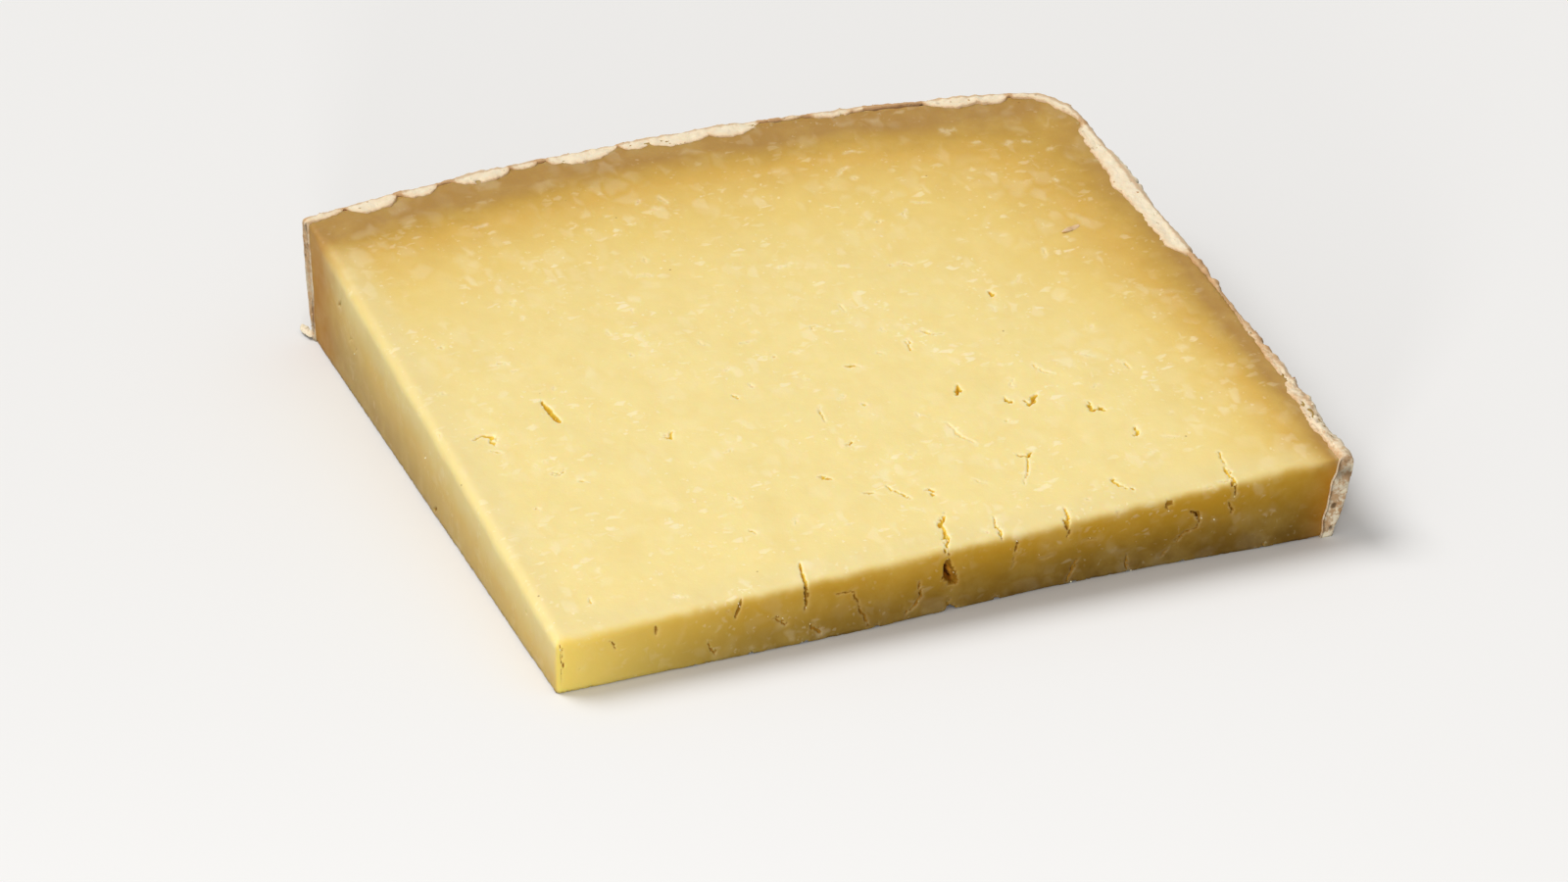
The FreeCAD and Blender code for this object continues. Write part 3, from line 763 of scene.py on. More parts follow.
class CrustSkin:
    """The crust's sections along its path. Each is a closed loop: up outside, over the top, down inside."""

    # Along the end face and the shoulder: place, thickness, bloom and ruggedness, from the front cut on.
    BAND = (
        (0, 3.4, 0.50, 1.0),
        (8, 4.2, 0.58, 1.0),
        (15, 4.8, 0.62, 1.0),
        (23, 3.8, 0.44, 1.0),
        (27, 4.4, 0.55, 0.9),
        (34, 3.0, 0.50, 0.8),
        (44, 2.6, 0.48, 0.8),
        (52, 3.0, 0.40, 0.8),
        (59, 2.0, 0.26, 1.0),
        (74, 1.7, 0.22, 1.0),
        (85, 2.0, 0.30, 0.8),
        (89, 4.6, 0.85, 0.4),
        (97, 5.4, 1.00, 0.3),
        (112, 5.4, 1.00, 0.3),
        (117, 6.4, 1.00, 0.3),
        (121, 5.0, 1.00, 0.4),
        (136, 4.6, 0.95, 0.4),
        (141, 3.6, 0.80, 0.4),
        (144, 1.7, 0.25, 0.6),
        (147, 2.4, 0.60, 0.5),
        (152, 3.8, 0.70, 0.3),
        (157, 3.2, 0.65, 0.3),
        (160, 1.9, 0.40, 0.4),
    )
    # Pale plates along the wall: where each starts and stops, counted from the left cut, then its thickness
    # and bloom.
    PLATES = (
        (-1.2, 9.3, 3.4, 0.72),
        (10.1, 22.6, 5.4, 1.00),
        (24.3, 33.1, 4.6, 1.00),
        (37.3, 51.4, 4.8, 0.95),
        (51.9, 58.3, 3.4, 0.75),
        (60.6, 78.2, 5.6, 0.92),
        (78.9, 86.5, 4.6, 0.90),
        (85.5, 101.0, 6.0, 1.00),
        (100.0, 113.1, 5.4, 1.00),
        (118.6, 123.6, 2.2, 0.65),
        (126.0, 135.9, 3.6, 0.75),
        (135.9, 139.0, 2.4, 0.70),
        (153.4, 167.0, 4.8, 1.00),
        (165.5, 173.6, 4.4, 1.00),
        (174.5, 180.5, 3.0, 0.85),
    )

    # Points of a section, in order: up its outer face, round its outer edge, over its top, round its inner
    # edge, down its inner side, which lies against the paste, and under its foot.
    SIDE = 56
    TURN = 6
    TOP = 12
    FALL = 4
    INSIDE = 14
    UNDER = 5

    def __init__(self, shape, crust):
        self.shape = shape
        self.crust = crust
        self.path = CrustPath(shape)
        self.proud_end = 0.6 * MM
        count = round((self.path.length + 2 * self.proud_end) / crust.along_step)
        self.along = np.linspace(-self.proud_end, self.path.length + self.proud_end, count)
        self.width, self.bloom, self.rugged = self.band_and_plates()

    def band_and_plates(self):
        """Thickness of the crust at the top cut, its bloom and its ruggedness, section by section."""
        crust = self.crust
        along = self.along / MM
        station = np.array(self.BAND)
        band, bloom, rugged = (np.interp(along, station[:, 0], station[:, column]) for column in (1, 2, 3))
        from_left = (self.path.length - self.along) / MM
        thick = np.full(len(along), crust.gap_width / MM)
        pale = np.full(len(along), 0.22)
        for start, stop, full, tone in self.PLATES:
            share = np.clip((from_left - start) / (stop - start), 0, 1)
            lens = np.sin(math.pi * share) ** 0.4
            thick = np.maximum(thick, crust.gap_width / MM + (full - crust.gap_width / MM) * lens)
            pale = np.maximum(pale, 0.22 + (tone - 0.22) * lens)
        on_wall = smooth(156, 160, along)
        width = band + (thick - band) * on_wall
        line = np.column_stack([self.along, np.zeros((len(along), 2))])
        ragged = 0.42 * haze(line, 3.4 * MM, 5) + 0.30 * haze(line, 1.3 * MM, 6)
        width = width * MM + ragged * MM * smooth(1.6, 4.0, width)
        return width, bloom + (pale - bloom) * on_wall, rugged + (0.35 - rugged) * on_wall

    def sections(self):
        """Places, outward ways and loose shares, as rows of sections by points round the section."""
        path = self.path
        foot = path.at(path.foot, self.along)
        out = path.at(path.out, self.along)
        out /= np.linalg.norm(out, axis=1)[:, None]
        before = np.minimum(self.along, 0)
        after = np.maximum(self.along - path.length, 0)
        way = np.stack([-out[:, 1], out[:, 0]], axis=1)
        foot = foot + way * (before + after)[:, None]
        lean = path.at(path.lean, self.along)
        front_rounding = 2.6 * MM * smooth(26 * MM, 0, self.along)
        loops = []
        for row in range(len(self.along)):
            rounding = 1.3 * MM + front_rounding[row]
            loops.append(self.section(foot[row], out[row], lean[row], self.width[row], rounding))
        places = np.array([loop[0] for loop in loops])
        ways = np.array([loop[1] for loop in loops])
        near_front = np.clip(1 - self.along / (30 * MM), 0, 1)
        hollow = front_hollow(self.shape, places[:, :, 0], places[:, :, 2])
        places[:, :, 1] += hollow * near_front[:, None]
        return places, ways, loops[0][2]

    def section(self, foot, out, lean, width, outer_radius):
        """One section: places, outward ways, and how freely each place may move, from 0 to 1."""
        shape = self.shape
        rise = shape.end_rise / shape.front_length * out[0] + shape.wall_rise / shape.left_length * out[1]
        base = paste_height(shape, *foot)
        height = base / (1 - rise * lean) + self.crust.proud
        outer_radius = min(outer_radius, 0.65 * width)
        inner_radius = min(0.7 * MM, 0.15 * width)
        up = np.linspace(0, 1, self.SIDE)
        side_z = up * (height - outer_radius)
        side_u = lean * side_z + 0.8 * MM * np.sin(math.pi * np.clip(side_z / height, 0, 1))
        side = np.column_stack([side_u, side_z, np.ones(self.SIDE), np.zeros(self.SIDE)])
        edge_u = side_u[-1]
        bend = np.linspace(0, math.pi / 2, self.TURN + 1)[1:]
        turn = np.column_stack([
            edge_u - outer_radius * (1 - np.cos(bend)),
            height - outer_radius + outer_radius * np.sin(bend),
            np.cos(bend),
            np.sin(bend),
        ])
        top_u = np.linspace(turn[-1, 0], edge_u - width + inner_radius, self.TOP + 1)[1:]
        top = np.column_stack([top_u, np.full(self.TOP, height), np.zeros(self.TOP), np.ones(self.TOP)])
        fall = np.linspace(0, math.pi / 2, self.FALL + 1)[1:]
        inner = np.column_stack([
            top_u[-1] - inner_radius * np.sin(fall),
            height - inner_radius * (1 - np.cos(fall)),
            -np.sin(fall),
            np.cos(fall),
        ])
        low_u = inner[-1, 0]
        # The line where it meets the paste is wavy, and nears the outer face toward the foot.
        inside_z = np.linspace(height - inner_radius - 1.0 * MM, 0, self.INSIDE)
        spots = np.column_stack([inside_z, np.zeros((self.INSIDE, 2))])
        wave = 0.8 * MM * haze(spots, 6 * MM, 4) + 0.45 * MM * haze(spots, 2.2 * MM, 5)
        taper = 0.35 * width * smooth(0.3 * height, 0, inside_z)
        wave = wave * smooth(height, 0.8 * height, inside_z) + taper
        inside_u = low_u - lean * (height - inside_z) + wave
        hidden = np.column_stack([inside_u, inside_z, -np.ones(self.INSIDE), np.zeros(self.INSIDE)])
        under_u = np.linspace(inside_u[-1], 0, self.UNDER + 2)[1:-1]
        under = np.column_stack([under_u, np.zeros(self.UNDER), np.zeros(self.UNDER), -np.ones(self.UNDER)])
        unseen = self.INSIDE + self.UNDER
        loop = np.vstack([side, turn, top, inner, hidden, under])
        loop[self.SIDE : -unseen, 1] += rise * (loop[self.SIDE : -unseen, 0] - edge_u)
        loose = np.ones(len(loop))
        loose[:4] = np.linspace(0, 1, 4)
        loose[-unseen:] = 0
        loose[-unseen - 2 : -unseen] = 0.5
        places = np.column_stack([foot + out * loop[:, :1], loop[:, 1]])
        ways = np.column_stack([out * loop[:, 2:3], loop[:, 3]])
        return places, ways, loose


def crust_relief(crust, places, rugged, upward):
    """Height of the crust's lumps, nodules and crumbs at places, and the strength of its pits and cracks.

    The flat upper side is calmer than the outer face, and calmest where it isn't rugged.
    """
    calm = 1 - np.clip(upward, 0, 1) * (1 - 0.75 * rugged)
    lumps = haze(places, 11 * MM, 1) - 0.35 * np.abs(haze(places, 17 * MM, 2))
    nodules = 0.5 - np.abs(haze(places, 4.2 * MM, 3)) * 1.6
    crumbs = grit(places, 1.5 * MM, 4, 3)
    cells = np.array([noise.voronoi(place)[0] for place in (places / (3.1 * MM)).tolist()])
    nearest, second = cells[:, 0], cells[:, 1]
    pit_here = smooth(0.15, 0.55, haze(places, 8 * MM, 7) + 0.25 * rugged)
    pits = smooth(0.34, 0.10, nearest) * pit_here
    cracks = smooth(0.10, 0.0, second - nearest) * smooth(-0.1, 0.4, haze(places, 9 * MM, 8) + 0.2 * rugged)
    height = calm * (0.6 * crust.lumps * lumps + crust.nodules * nodules)
    height = height + crust.crumb_relief * crumbs * (0.4 + 0.6 * rugged)
    height = height - crust.pits * pits - 0.45 * crust.pits * cracks * calm
    return np.clip(height, -1.0 * MM, 1.8 * MM), np.maximum(pits, 0.6 * cracks * calm)


def cap_points(loop, step, chance):
    """Flat points inside a closed loop, at about the step given."""
    low, high = loop.min(axis=0), loop.max(axis=0)
    inner = jittered_grid(low, high, step, 0.3, chance)
    following = np.roll(loop, -1, axis=0)
    crossings = np.zeros(len(inner), int)
    gap = np.full(len(inner), np.inf)
    for start, stop in zip(loop, following):
        spans = (start[1] > inner[:, 1]) != (stop[1] > inner[:, 1])
        run = stop - start
        at = start[0] + (inner[:, 1] - start[1]) * run[0] / (run[1] if run[1] else 1)
        crossings += spans & (inner[:, 0] < at)
        share = np.clip((inner - start) @ run / (run @ run), 0, 1)
        gap = np.minimum(gap, np.linalg.norm(inner - start - share[:, None] * run, axis=1))
    return inner[(crossings % 2 == 1) & (gap > 0.45 * step)]


def crust_cap(skin, loop, level, sign, chance):
    """The cut face that closes one end of the crust, from that end's section and its level outward way.

    Gives its own points and their pits, the seam of the section's points and of its own, and its faces, which
    count the section's points first. The sign is -1 at the front and 1 at the left cut.
    """
    around = len(loop)
    centre = loop.mean(axis=0)
    normal = np.array([-level[1], level[0]]) * sign
    flat = np.column_stack([(loop[:, :2] - centre[:2]) @ level, loop[:, 2]])
    inner = cap_points(flat, skin.crust.along_step, chance)
    cap_flat, cap_faces, origins = triangulate(np.vstack([flat, inner]), around)
    numbers = []
    own = []
    for index, origin in enumerate(origins):
        if origin < around:
            numbers.append(origin)
        else:
            numbers.append(around + len(own))
            own.append(index)
    spot = cap_flat[own]
    # The seam counts from the paste's side of the cap.
    inside = flat[-skin.INSIDE - skin.UNDER : -skin.UNDER][::-1]
    edges = [np.interp(place[:, 1], inside[:, 1], inside[:, 0]) for place in (flat, spot)]
    seams = [(place[:, 0] - edge) / MM for place, edge in zip((flat, spot), edges)]
    raised = np.column_stack([centre[:2] + spot[:, :1] * level, spot[:, 1]])
    relief, pitted = crust_relief(skin.crust, raised + 0.05, np.ones(len(raised)), np.zeros(len(raised)))
    depth = np.clip(relief * 0.7, -0.25 * MM, 0.9 * MM)
    raised[:, :2] += normal * depth[:, None]
    # On the front cap a dark band near the top stands for a brown pocket in the crust: its brown, and painted
    # shade in it.
    if sign < 0:
        pocket_shade_band = (spot[:, 1] - 0.80 * flat[:, 1].max()) / (2.2 * MM)
        pitted = np.maximum(pitted, 0.6 * np.exp(-(pocket_shade_band**2)))
    return raised, pitted, *seams, [tuple(numbers[corner] for corner in face) for face in cap_faces]


def make_crust(shape, crust, material):
    """The crust: one lumpy closed band along the end face, round the shoulder and along the wall."""
    skin = CrustSkin(shape, crust)
    places, ways, loose = skin.sections()
    rows, around = places.shape[:2]
    from_end = np.minimum(skin.along - skin.along[0], skin.along[-1] - skin.along)
    rounding = 0.3 * MM
    pull = rounding - np.sqrt(np.maximum(rounding**2 - np.maximum(rounding - from_end, 0) ** 2, 0))
    rugged = np.repeat(skin.rugged, around)
    # The outer face is rugged all over; only the top keeps to the band's own ruggedness.
    rugged = 1 - np.clip(ways[:, :, 2].ravel(), 0, 1) * (1 - rugged)
    height, pitted = crust_relief(crust, places.reshape(-1, 3), rugged, ways[:, :, 2].ravel())
    calm_end = 0.4 + 0.6 * smooth(0, 4 * MM, from_end)
    height = np.maximum(height.reshape(rows, around), -0.3 * skin.width[:, None])
    height = height * loose * calm_end[:, None] - pull[:, None] * (loose == 1)
    places = places + ways * height[:, :, None]
    places[:, :, 2] = np.maximum(places[:, :, 2], 0)

    faces = []
    for row in range(rows - 1):
        for index in range(around):
            after = (index + 1) % around
            first, last = row * around, (row + 1) * around
            faces.append((first + index, last + index, last + after, first + after))
    points = [places.reshape(-1, 3)]
    pits = [pitted]
    seams = np.full((rows, around), FAR)
    cuts = np.zeros((rows, around))
    cap_seams, cap_cuts, cap_blooms = [], [], []
    chance = np.random.default_rng(9)
    count = rows * around
    # Beside the left cut the crust is thinner and pinker than at the front.
    for row, sign, cut, bloom in ((0, -1, 1.0, 0.60), (rows - 1, 1, 0.3, 0.34)):
        cap = crust_cap(skin, places[row], unit(ways[row, 0, :2]), sign, chance)
        own, own_pits, seams[row], own_seams, cap_faces = cap
        cuts[row] = cut
        cap_cuts.append(np.full(len(own), cut))
        cap_blooms.append(np.full(len(own), bloom))
        cap_seams.append(own_seams)
        points.append(own)
        pits.append(own_pits)
        numbers = np.concatenate([row * around + np.arange(around), count + np.arange(len(own))]).tolist()
        faces += [tuple(numbers[corner] for corner in face) for face in cap_faces]
        count += len(own)
    points = np.vstack(points)
    piece = make_mesh("cheese_crust", points + [*corner_of_foot(), 0], faces, material)
    mend_normals(piece)
    caps = len(points) - rows * around
    inner_edge = np.linalg.norm(places - places[:, [-skin.INSIDE - skin.UNDER - 2]], axis=2) / MM
    # The outer edge's rounding is measured from two of its points.
    drop = np.abs((places - places[:, [skin.SIDE + 2]]) @ np.array([0, 0, 1]))
    outer_edge = drop + np.linalg.norm(places - places[:, [skin.SIDE + 4]], axis=2)
    # Down the outer face the plates' own bloom gives way to an even one.
    near_top = smooth(9 * MM, 1 * MM, places[:, :, 2].max(axis=1)[:, None] - places[:, :, 2])
    blooms = 0.50 + (skin.bloom[:, None] - 0.50) * near_top
    set_attribute(piece, "bloom", np.concatenate([blooms.ravel(), *cap_blooms]))
    set_attribute(piece, "inner_edge", np.concatenate([inner_edge.ravel(), np.full(caps, FAR)]))
    set_attribute(piece, "outer_edge", np.concatenate([outer_edge.ravel() / MM, np.full(caps, FAR)]))
    set_attribute(piece, "cut", np.concatenate([cuts.ravel(), *cap_cuts]))
    set_attribute(piece, "pit", np.concatenate(pits))
    set_attribute(piece, "seam", np.concatenate([seams.ravel(), *cap_seams]))
    return piece


def mend_normals(piece):
    """Turns every face of a closed piece outward."""
    work = bmesh.new()
    work.from_mesh(piece.data)
    bmesh.ops.recalc_face_normals(work, faces=work.faces)
    work.to_mesh(piece.data)
    work.free()


# ---------------------------------------------------------------------------------------- loose bits


def socket_of(tree, name):
    """The identifier of a node group's input, from its name."""
    return next(item.identifier for item in tree.interface.items_tree if item.name == name)


def grain_tree():
    """Node group that strews small angular grains over a mesh, thicker where an attribute says so."""
    tree = bpy.data.node_groups.new("Strewn grains", "GeometryNodeTree")
    interface = tree.interface
    interface.new_socket(name="Geometry", in_out="INPUT", socket_type="NodeSocketGeometry")
    for name, kind in (
        ("Density", "NodeSocketFloat"),
        ("Smallest", "NodeSocketFloat"),
        ("Largest", "NodeSocketFloat"),
        ("Sink", "NodeSocketFloat"),
        ("Seed", "NodeSocketInt"),
        ("Material", "NodeSocketMaterial"),
    ):
        interface.new_socket(name=name, in_out="INPUT", socket_type=kind)
    interface.new_socket(name="Geometry", in_out="OUTPUT", socket_type="NodeSocketGeometry")

    def node(kind, settings=(), **inputs):
        made = tree.nodes.new(kind)
        for name, value in dict(settings).items():
            setattr(made, name, value)
        for name, value in inputs.items():
            socket = made.inputs[name.replace("_", " ")]
            if isinstance(value, bpy.types.NodeSocket):
                tree.links.new(value, socket)
            else:
                socket.default_value = value
        return made

    given = node("NodeGroupInput").outputs
    share = node("GeometryNodeInputNamedAttribute", {"data_type": "FLOAT"}, Name="strewn")
    density = node("ShaderNodeMath", {"operation": "MULTIPLY"})
    tree.links.new(given["Density"], density.inputs[0])
    tree.links.new(share.outputs["Attribute"], density.inputs[1])
    spread = node(
        "GeometryNodeDistributePointsOnFaces",
        {"distribute_method": "RANDOM"},
        Mesh=given["Geometry"],
        Density=density.outputs[0],
        Seed=given["Seed"],
    )
    sink = node("ShaderNodeVectorMath", {"operation": "SCALE"}, Scale=given["Sink"])
    tree.links.new(spread.outputs["Normal"], sink.inputs[0])
    sunk = node("GeometryNodeSetPosition", Geometry=spread.outputs["Points"], Offset=sink.outputs["Vector"])
    grain = node("GeometryNodeMeshIcoSphere", Radius=1.0, Subdivisions=1)
    place = node("GeometryNodeInputPosition")
    rough = node("ShaderNodeTexNoise", Vector=place.outputs[0], Scale=1.7)
    centred = node("ShaderNodeVectorMath", {"operation": "SUBTRACT"})
    tree.links.new(rough.outputs["Color"], centred.inputs[0])
    centred.inputs[1].default_value = (0.5, 0.5, 0.5)
    grain, offset = grain.outputs["Mesh"], centred.outputs["Vector"]
    knobbly = node("GeometryNodeSetPosition", Geometry=grain, Offset=offset)
    size = node("FunctionNodeRandomValue", {"data_type": "FLOAT_VECTOR"}, Seed=given["Seed"])
    tree.links.new(given["Smallest"], size.inputs["Min"])
    tree.links.new(given["Largest"], size.inputs["Max"])
    turn = node("FunctionNodeRandomValue", {"data_type": "FLOAT_VECTOR"}, Seed=given["Seed"])
    turn.inputs["Max"].default_value = (math.tau, math.tau, math.tau)
    placed = node(
        "GeometryNodeInstanceOnPoints",
        Points=sunk.outputs["Geometry"],
        Instance=knobbly.outputs["Geometry"],
        Rotation=turn.outputs["Value"],
        Scale=size.outputs["Value"],
    )
    whole = node("GeometryNodeRealizeInstances", Geometry=placed.outputs["Instances"])
    finished = node("GeometryNodeSetMaterial", Geometry=whole.outputs["Geometry"], Material=given["Material"])
    out = tree.nodes.new("NodeGroupOutput")
    tree.links.new(finished.outputs["Geometry"], out.inputs["Geometry"])
    return tree


def strew(name, host, shares, material, seed, per_square_centimetre, smallest, largest, sink):
    """A mesh piece of grains strewn over the host, from the shares given for the host's points."""
    bed = host.copy()
    bed.data = host.data.copy()
    bpy.context.collection.objects.link(bed)
    set_attribute(bed, "strewn", shares)
    tree = grain_tree()
    modifier = bed.modifiers.new("Grains", "NODES")
    modifier.node_group = tree
    values = {
        "Density": per_square_centimetre * 1e4,
        "Smallest": smallest * MM,
        "Largest": largest * MM,
        "Sink": -sink * MM,
        "Seed": seed,
        "Material": material,
    }
    for label, value in values.items():
        modifier[socket_of(tree, label)] = value
    evaluated = bed.evaluated_get(bpy.context.evaluated_depsgraph_get())
    mesh = bpy.data.meshes.new_from_object(evaluated)
    mesh.name = name
    piece = bpy.data.objects.new(name, mesh)
    bpy.context.collection.objects.link(piece)
    bpy.data.objects.remove(bed)
    bpy.data.node_groups.remove(tree)
    return piece


def make_flake(name, material, centre, reach, breadth, thickness, turn, seed, dusted):
    """A thin curled chip of crust, with its sizes in metres, turned about the z axis."""
    rings, around = 9, 44
    places = []
    for ring in range(rings + 1):
        share = ring / rings
        for index in range(around):
            angle = math.tau * index / around
            jag = 1 + 0.22 * noise.noise((math.cos(angle) * 1.6 + seed, math.sin(angle) * 1.6, 0))
            x = share * math.cos(angle) * jag * reach / 2
            y = share * math.sin(angle) * jag * breadth / 2
            places.append((x, y))
    flat = np.array(places)
    share = np.repeat(np.arange(rings + 1) / rings, around)
    rough = 0.35 * thickness * grit(in_space(flat) + seed, 1.4 * MM, seed)
    curl = 0.10 * flat[:, 0] ** 2 / reach
    half = thickness / 2 * np.sqrt(np.clip(1 - share**4, 0, 1))
    upper = np.column_stack([flat, curl + half + rough])
    lower = np.column_stack([flat, curl - half + rough * 0.4])
    points = np.vstack([upper, lower])
    offset = len(flat)
    faces = []
    for ring in range(rings):
        for index in range(around):
            after = (index + 1) % around
            low, high = ring * around, (ring + 1) * around
            quad = (low + index, high + index, high + after, low + after)
            if ring:
                faces.append(quad)
                faces.append(tuple(offset + corner for corner in quad[::-1]))
            else:
                faces.append((0, high + index, high + after))
                faces.append((offset, offset + high + after, offset + high + index))
    rim = rings * around
    for index in range(around):
        after = (index + 1) % around
        faces.append((rim + index, offset + rim + index, offset + rim + after, rim + after))
    cosine, sine = math.cos(turn), math.sin(turn)
    x, y = points[:, 0].copy(), points[:, 1].copy()
    points[:, 0], points[:, 1] = cosine * x - sine * y, sine * x + cosine * y
    piece = make_mesh(name, points + centre, faces, material)
    # The innermost ring's other points belong to no face.
    work = bmesh.new()
    work.from_mesh(piece.data)
    bmesh.ops.delete(work, geom=[vert for vert in work.verts if not vert.link_faces], context="VERTS")
    work.to_mesh(piece.data)
    work.free()
    count = len(piece.data.vertices)
    values = {"bloom": dusted, "pit": 0, "inner_edge": FAR, "outer_edge": FAR, "cut": 0, "seam": FAR}
    for attribute, value in values.items():
        set_attribute(piece, attribute, np.full(count, value))
    return piece


# ---------------------------------------------------------------------------------------- finishes


class Wire:
    """A number coming out of a shader node. Arithmetic on it adds Math nodes."""

    def __init__(self, finish, socket):
        self.finish = finish
        self.socket = socket

    def __add__(self, other):
        return self.finish.math("ADD", self, other)

    def __sub__(self, other):
        return self.finish.math("SUBTRACT", self, other)

    def __mul__(self, other):
        return self.finish.math("MULTIPLY", self, other)

    def __radd__(self, other):
        return self.finish.math("ADD", other, self)

    def __rsub__(self, other):
        return self.finish.math("SUBTRACT", other, self)

    def __rmul__(self, other):
        return self.finish.math("MULTIPLY", other, self)


class Finish:
    """A material being put together, node by node."""

    def __init__(self, name):
        self.material = bpy.data.materials.new(name)
        self.material.use_nodes = True
        self.tree = self.material.node_tree
        self.tree.nodes.clear()
        self.place = self.add("ShaderNodeTexCoord", {}, {}, "Object")

    def add(self, kind, settings, inputs, output=0):
        """Adds a node: its settings first, then its sockets. Gives one of its outputs."""
        node = self.tree.nodes.new(kind)
        for name, value in settings.items():
            if name == "stops":
                self.set_stops(node.color_ramp, value)
            else:
                setattr(node, name, value)
        for name, value in inputs.items():
            socket = node.inputs[name]
            if isinstance(value, Wire):
                self.tree.links.new(value.socket, socket)
            else:
                socket.default_value = value
        return Wire(self, node.outputs[output]) if node.outputs else node

    @staticmethod
    def set_stops(ramp, stops):
        """Places a ramp's colours. It starts with two of its own."""
        for _ in stops[2:]:
            ramp.elements.new(0.5)
        for element, (place, tone) in zip(ramp.elements, stops):
            element.position = place
            element.color = (*tone, 1)

    def ramp(self, value, stops):
        """A colour that runs through the stops as the value grows."""
        return self.add("ShaderNodeValToRGB", {"stops": stops}, {0: value}, "Color")

    def math(self, operation, *values):
        """One arithmetic step on numbers or wires."""
        return self.add("ShaderNodeMath", {"operation": operation}, dict(enumerate(values)))

    def step(self, value, low, high):
        """0 where the value is at low, 1 where it is at high, smooth between."""
        inputs = {"Value": value, "From Min": low, "From Max": high}
        return self.add("ShaderNodeMapRange", {"interpolation_type": "SMOOTHSTEP", "clamp": True}, inputs)

    def mix(self, share, first, second):
        """A colour between two others."""
        inputs = {"Factor": share, 6: self.opaque(first), 7: self.opaque(second)}
        return self.add("ShaderNodeMix", {"data_type": "RGBA", "clamp_factor": True}, inputs, 2)

    @staticmethod
    def opaque(value):
        """A colour with the alpha that a colour socket asks for."""
        return value if isinstance(value, Wire) else (*value, 1)

    def attribute(self, name):
        """A number that is stored on the mesh's points."""
        return self.add("ShaderNodeAttribute", {"attribute_name": name}, {}, "Fac")

    def shifted(self, offset, stretch=(1, 1, 1)):
        """Object coordinates, moved and stretched, so that two noises don't look alike."""
        inputs = {"Vector": self.place, "Location": offset, "Scale": stretch}
        return self.add("ShaderNodeMapping", {"vector_type": "POINT"}, inputs)

    def noise(self, size, detail=2.0, rough=0.5, seed=0):
        """Noise around 0.5. Its blotches are about as wide as the size, in metres."""
        place = self.shifted((seed * 0.37, seed * 0.53, seed * 0.71))
        inputs = {"Vector": place, "Scale": 1 / size, "Detail": detail, "Roughness": rough}
        return self.add("ShaderNodeTexNoise", {}, inputs, "Fac")

    def cells(self, size, seed, output, feature="F1", stretch=(1, 1, 1), warp=0.0):
        """Cells of about the size given: the distance from a cell's middle, or its chance colour."""
        place = self.shifted((seed * 0.41, seed * 0.59, seed * 0.29), stretch)
        if warp:
            inputs = {"Vector": place, "Scale": 1 / size, "Detail": 1.0}
            swirl = self.add("ShaderNodeTexNoise", {}, inputs, "Color")
            swirl = self.add("ShaderNodeVectorMath", {"operation": "SCALE"}, {0: swirl, "Scale": warp * size})
            place = self.add("ShaderNodeVectorMath", {"operation": "ADD"}, {0: place, 1: swirl})
        inputs = {"Vector": place, "Scale": 1 / size}
        return self.add("ShaderNodeTexVoronoi", {"feature": feature}, inputs, output)

    def shade(self, constants, varying):
        """Ends the material in a Principled shader."""
        shader = self.add("ShaderNodeBsdfPrincipled", {}, {**constants, **varying})
        self.add("ShaderNodeOutputMaterial", {}, {"Surface": shader})
        return self.material

    def bump(self, height, distance, strength):
        """A normal for a relief whose height runs from 0 to 1 over the distance, in metres."""
        inputs = {"Height": height, "Distance": distance, "Strength": strength}
        return self.add("ShaderNodeBump", {}, inputs, "Normal")


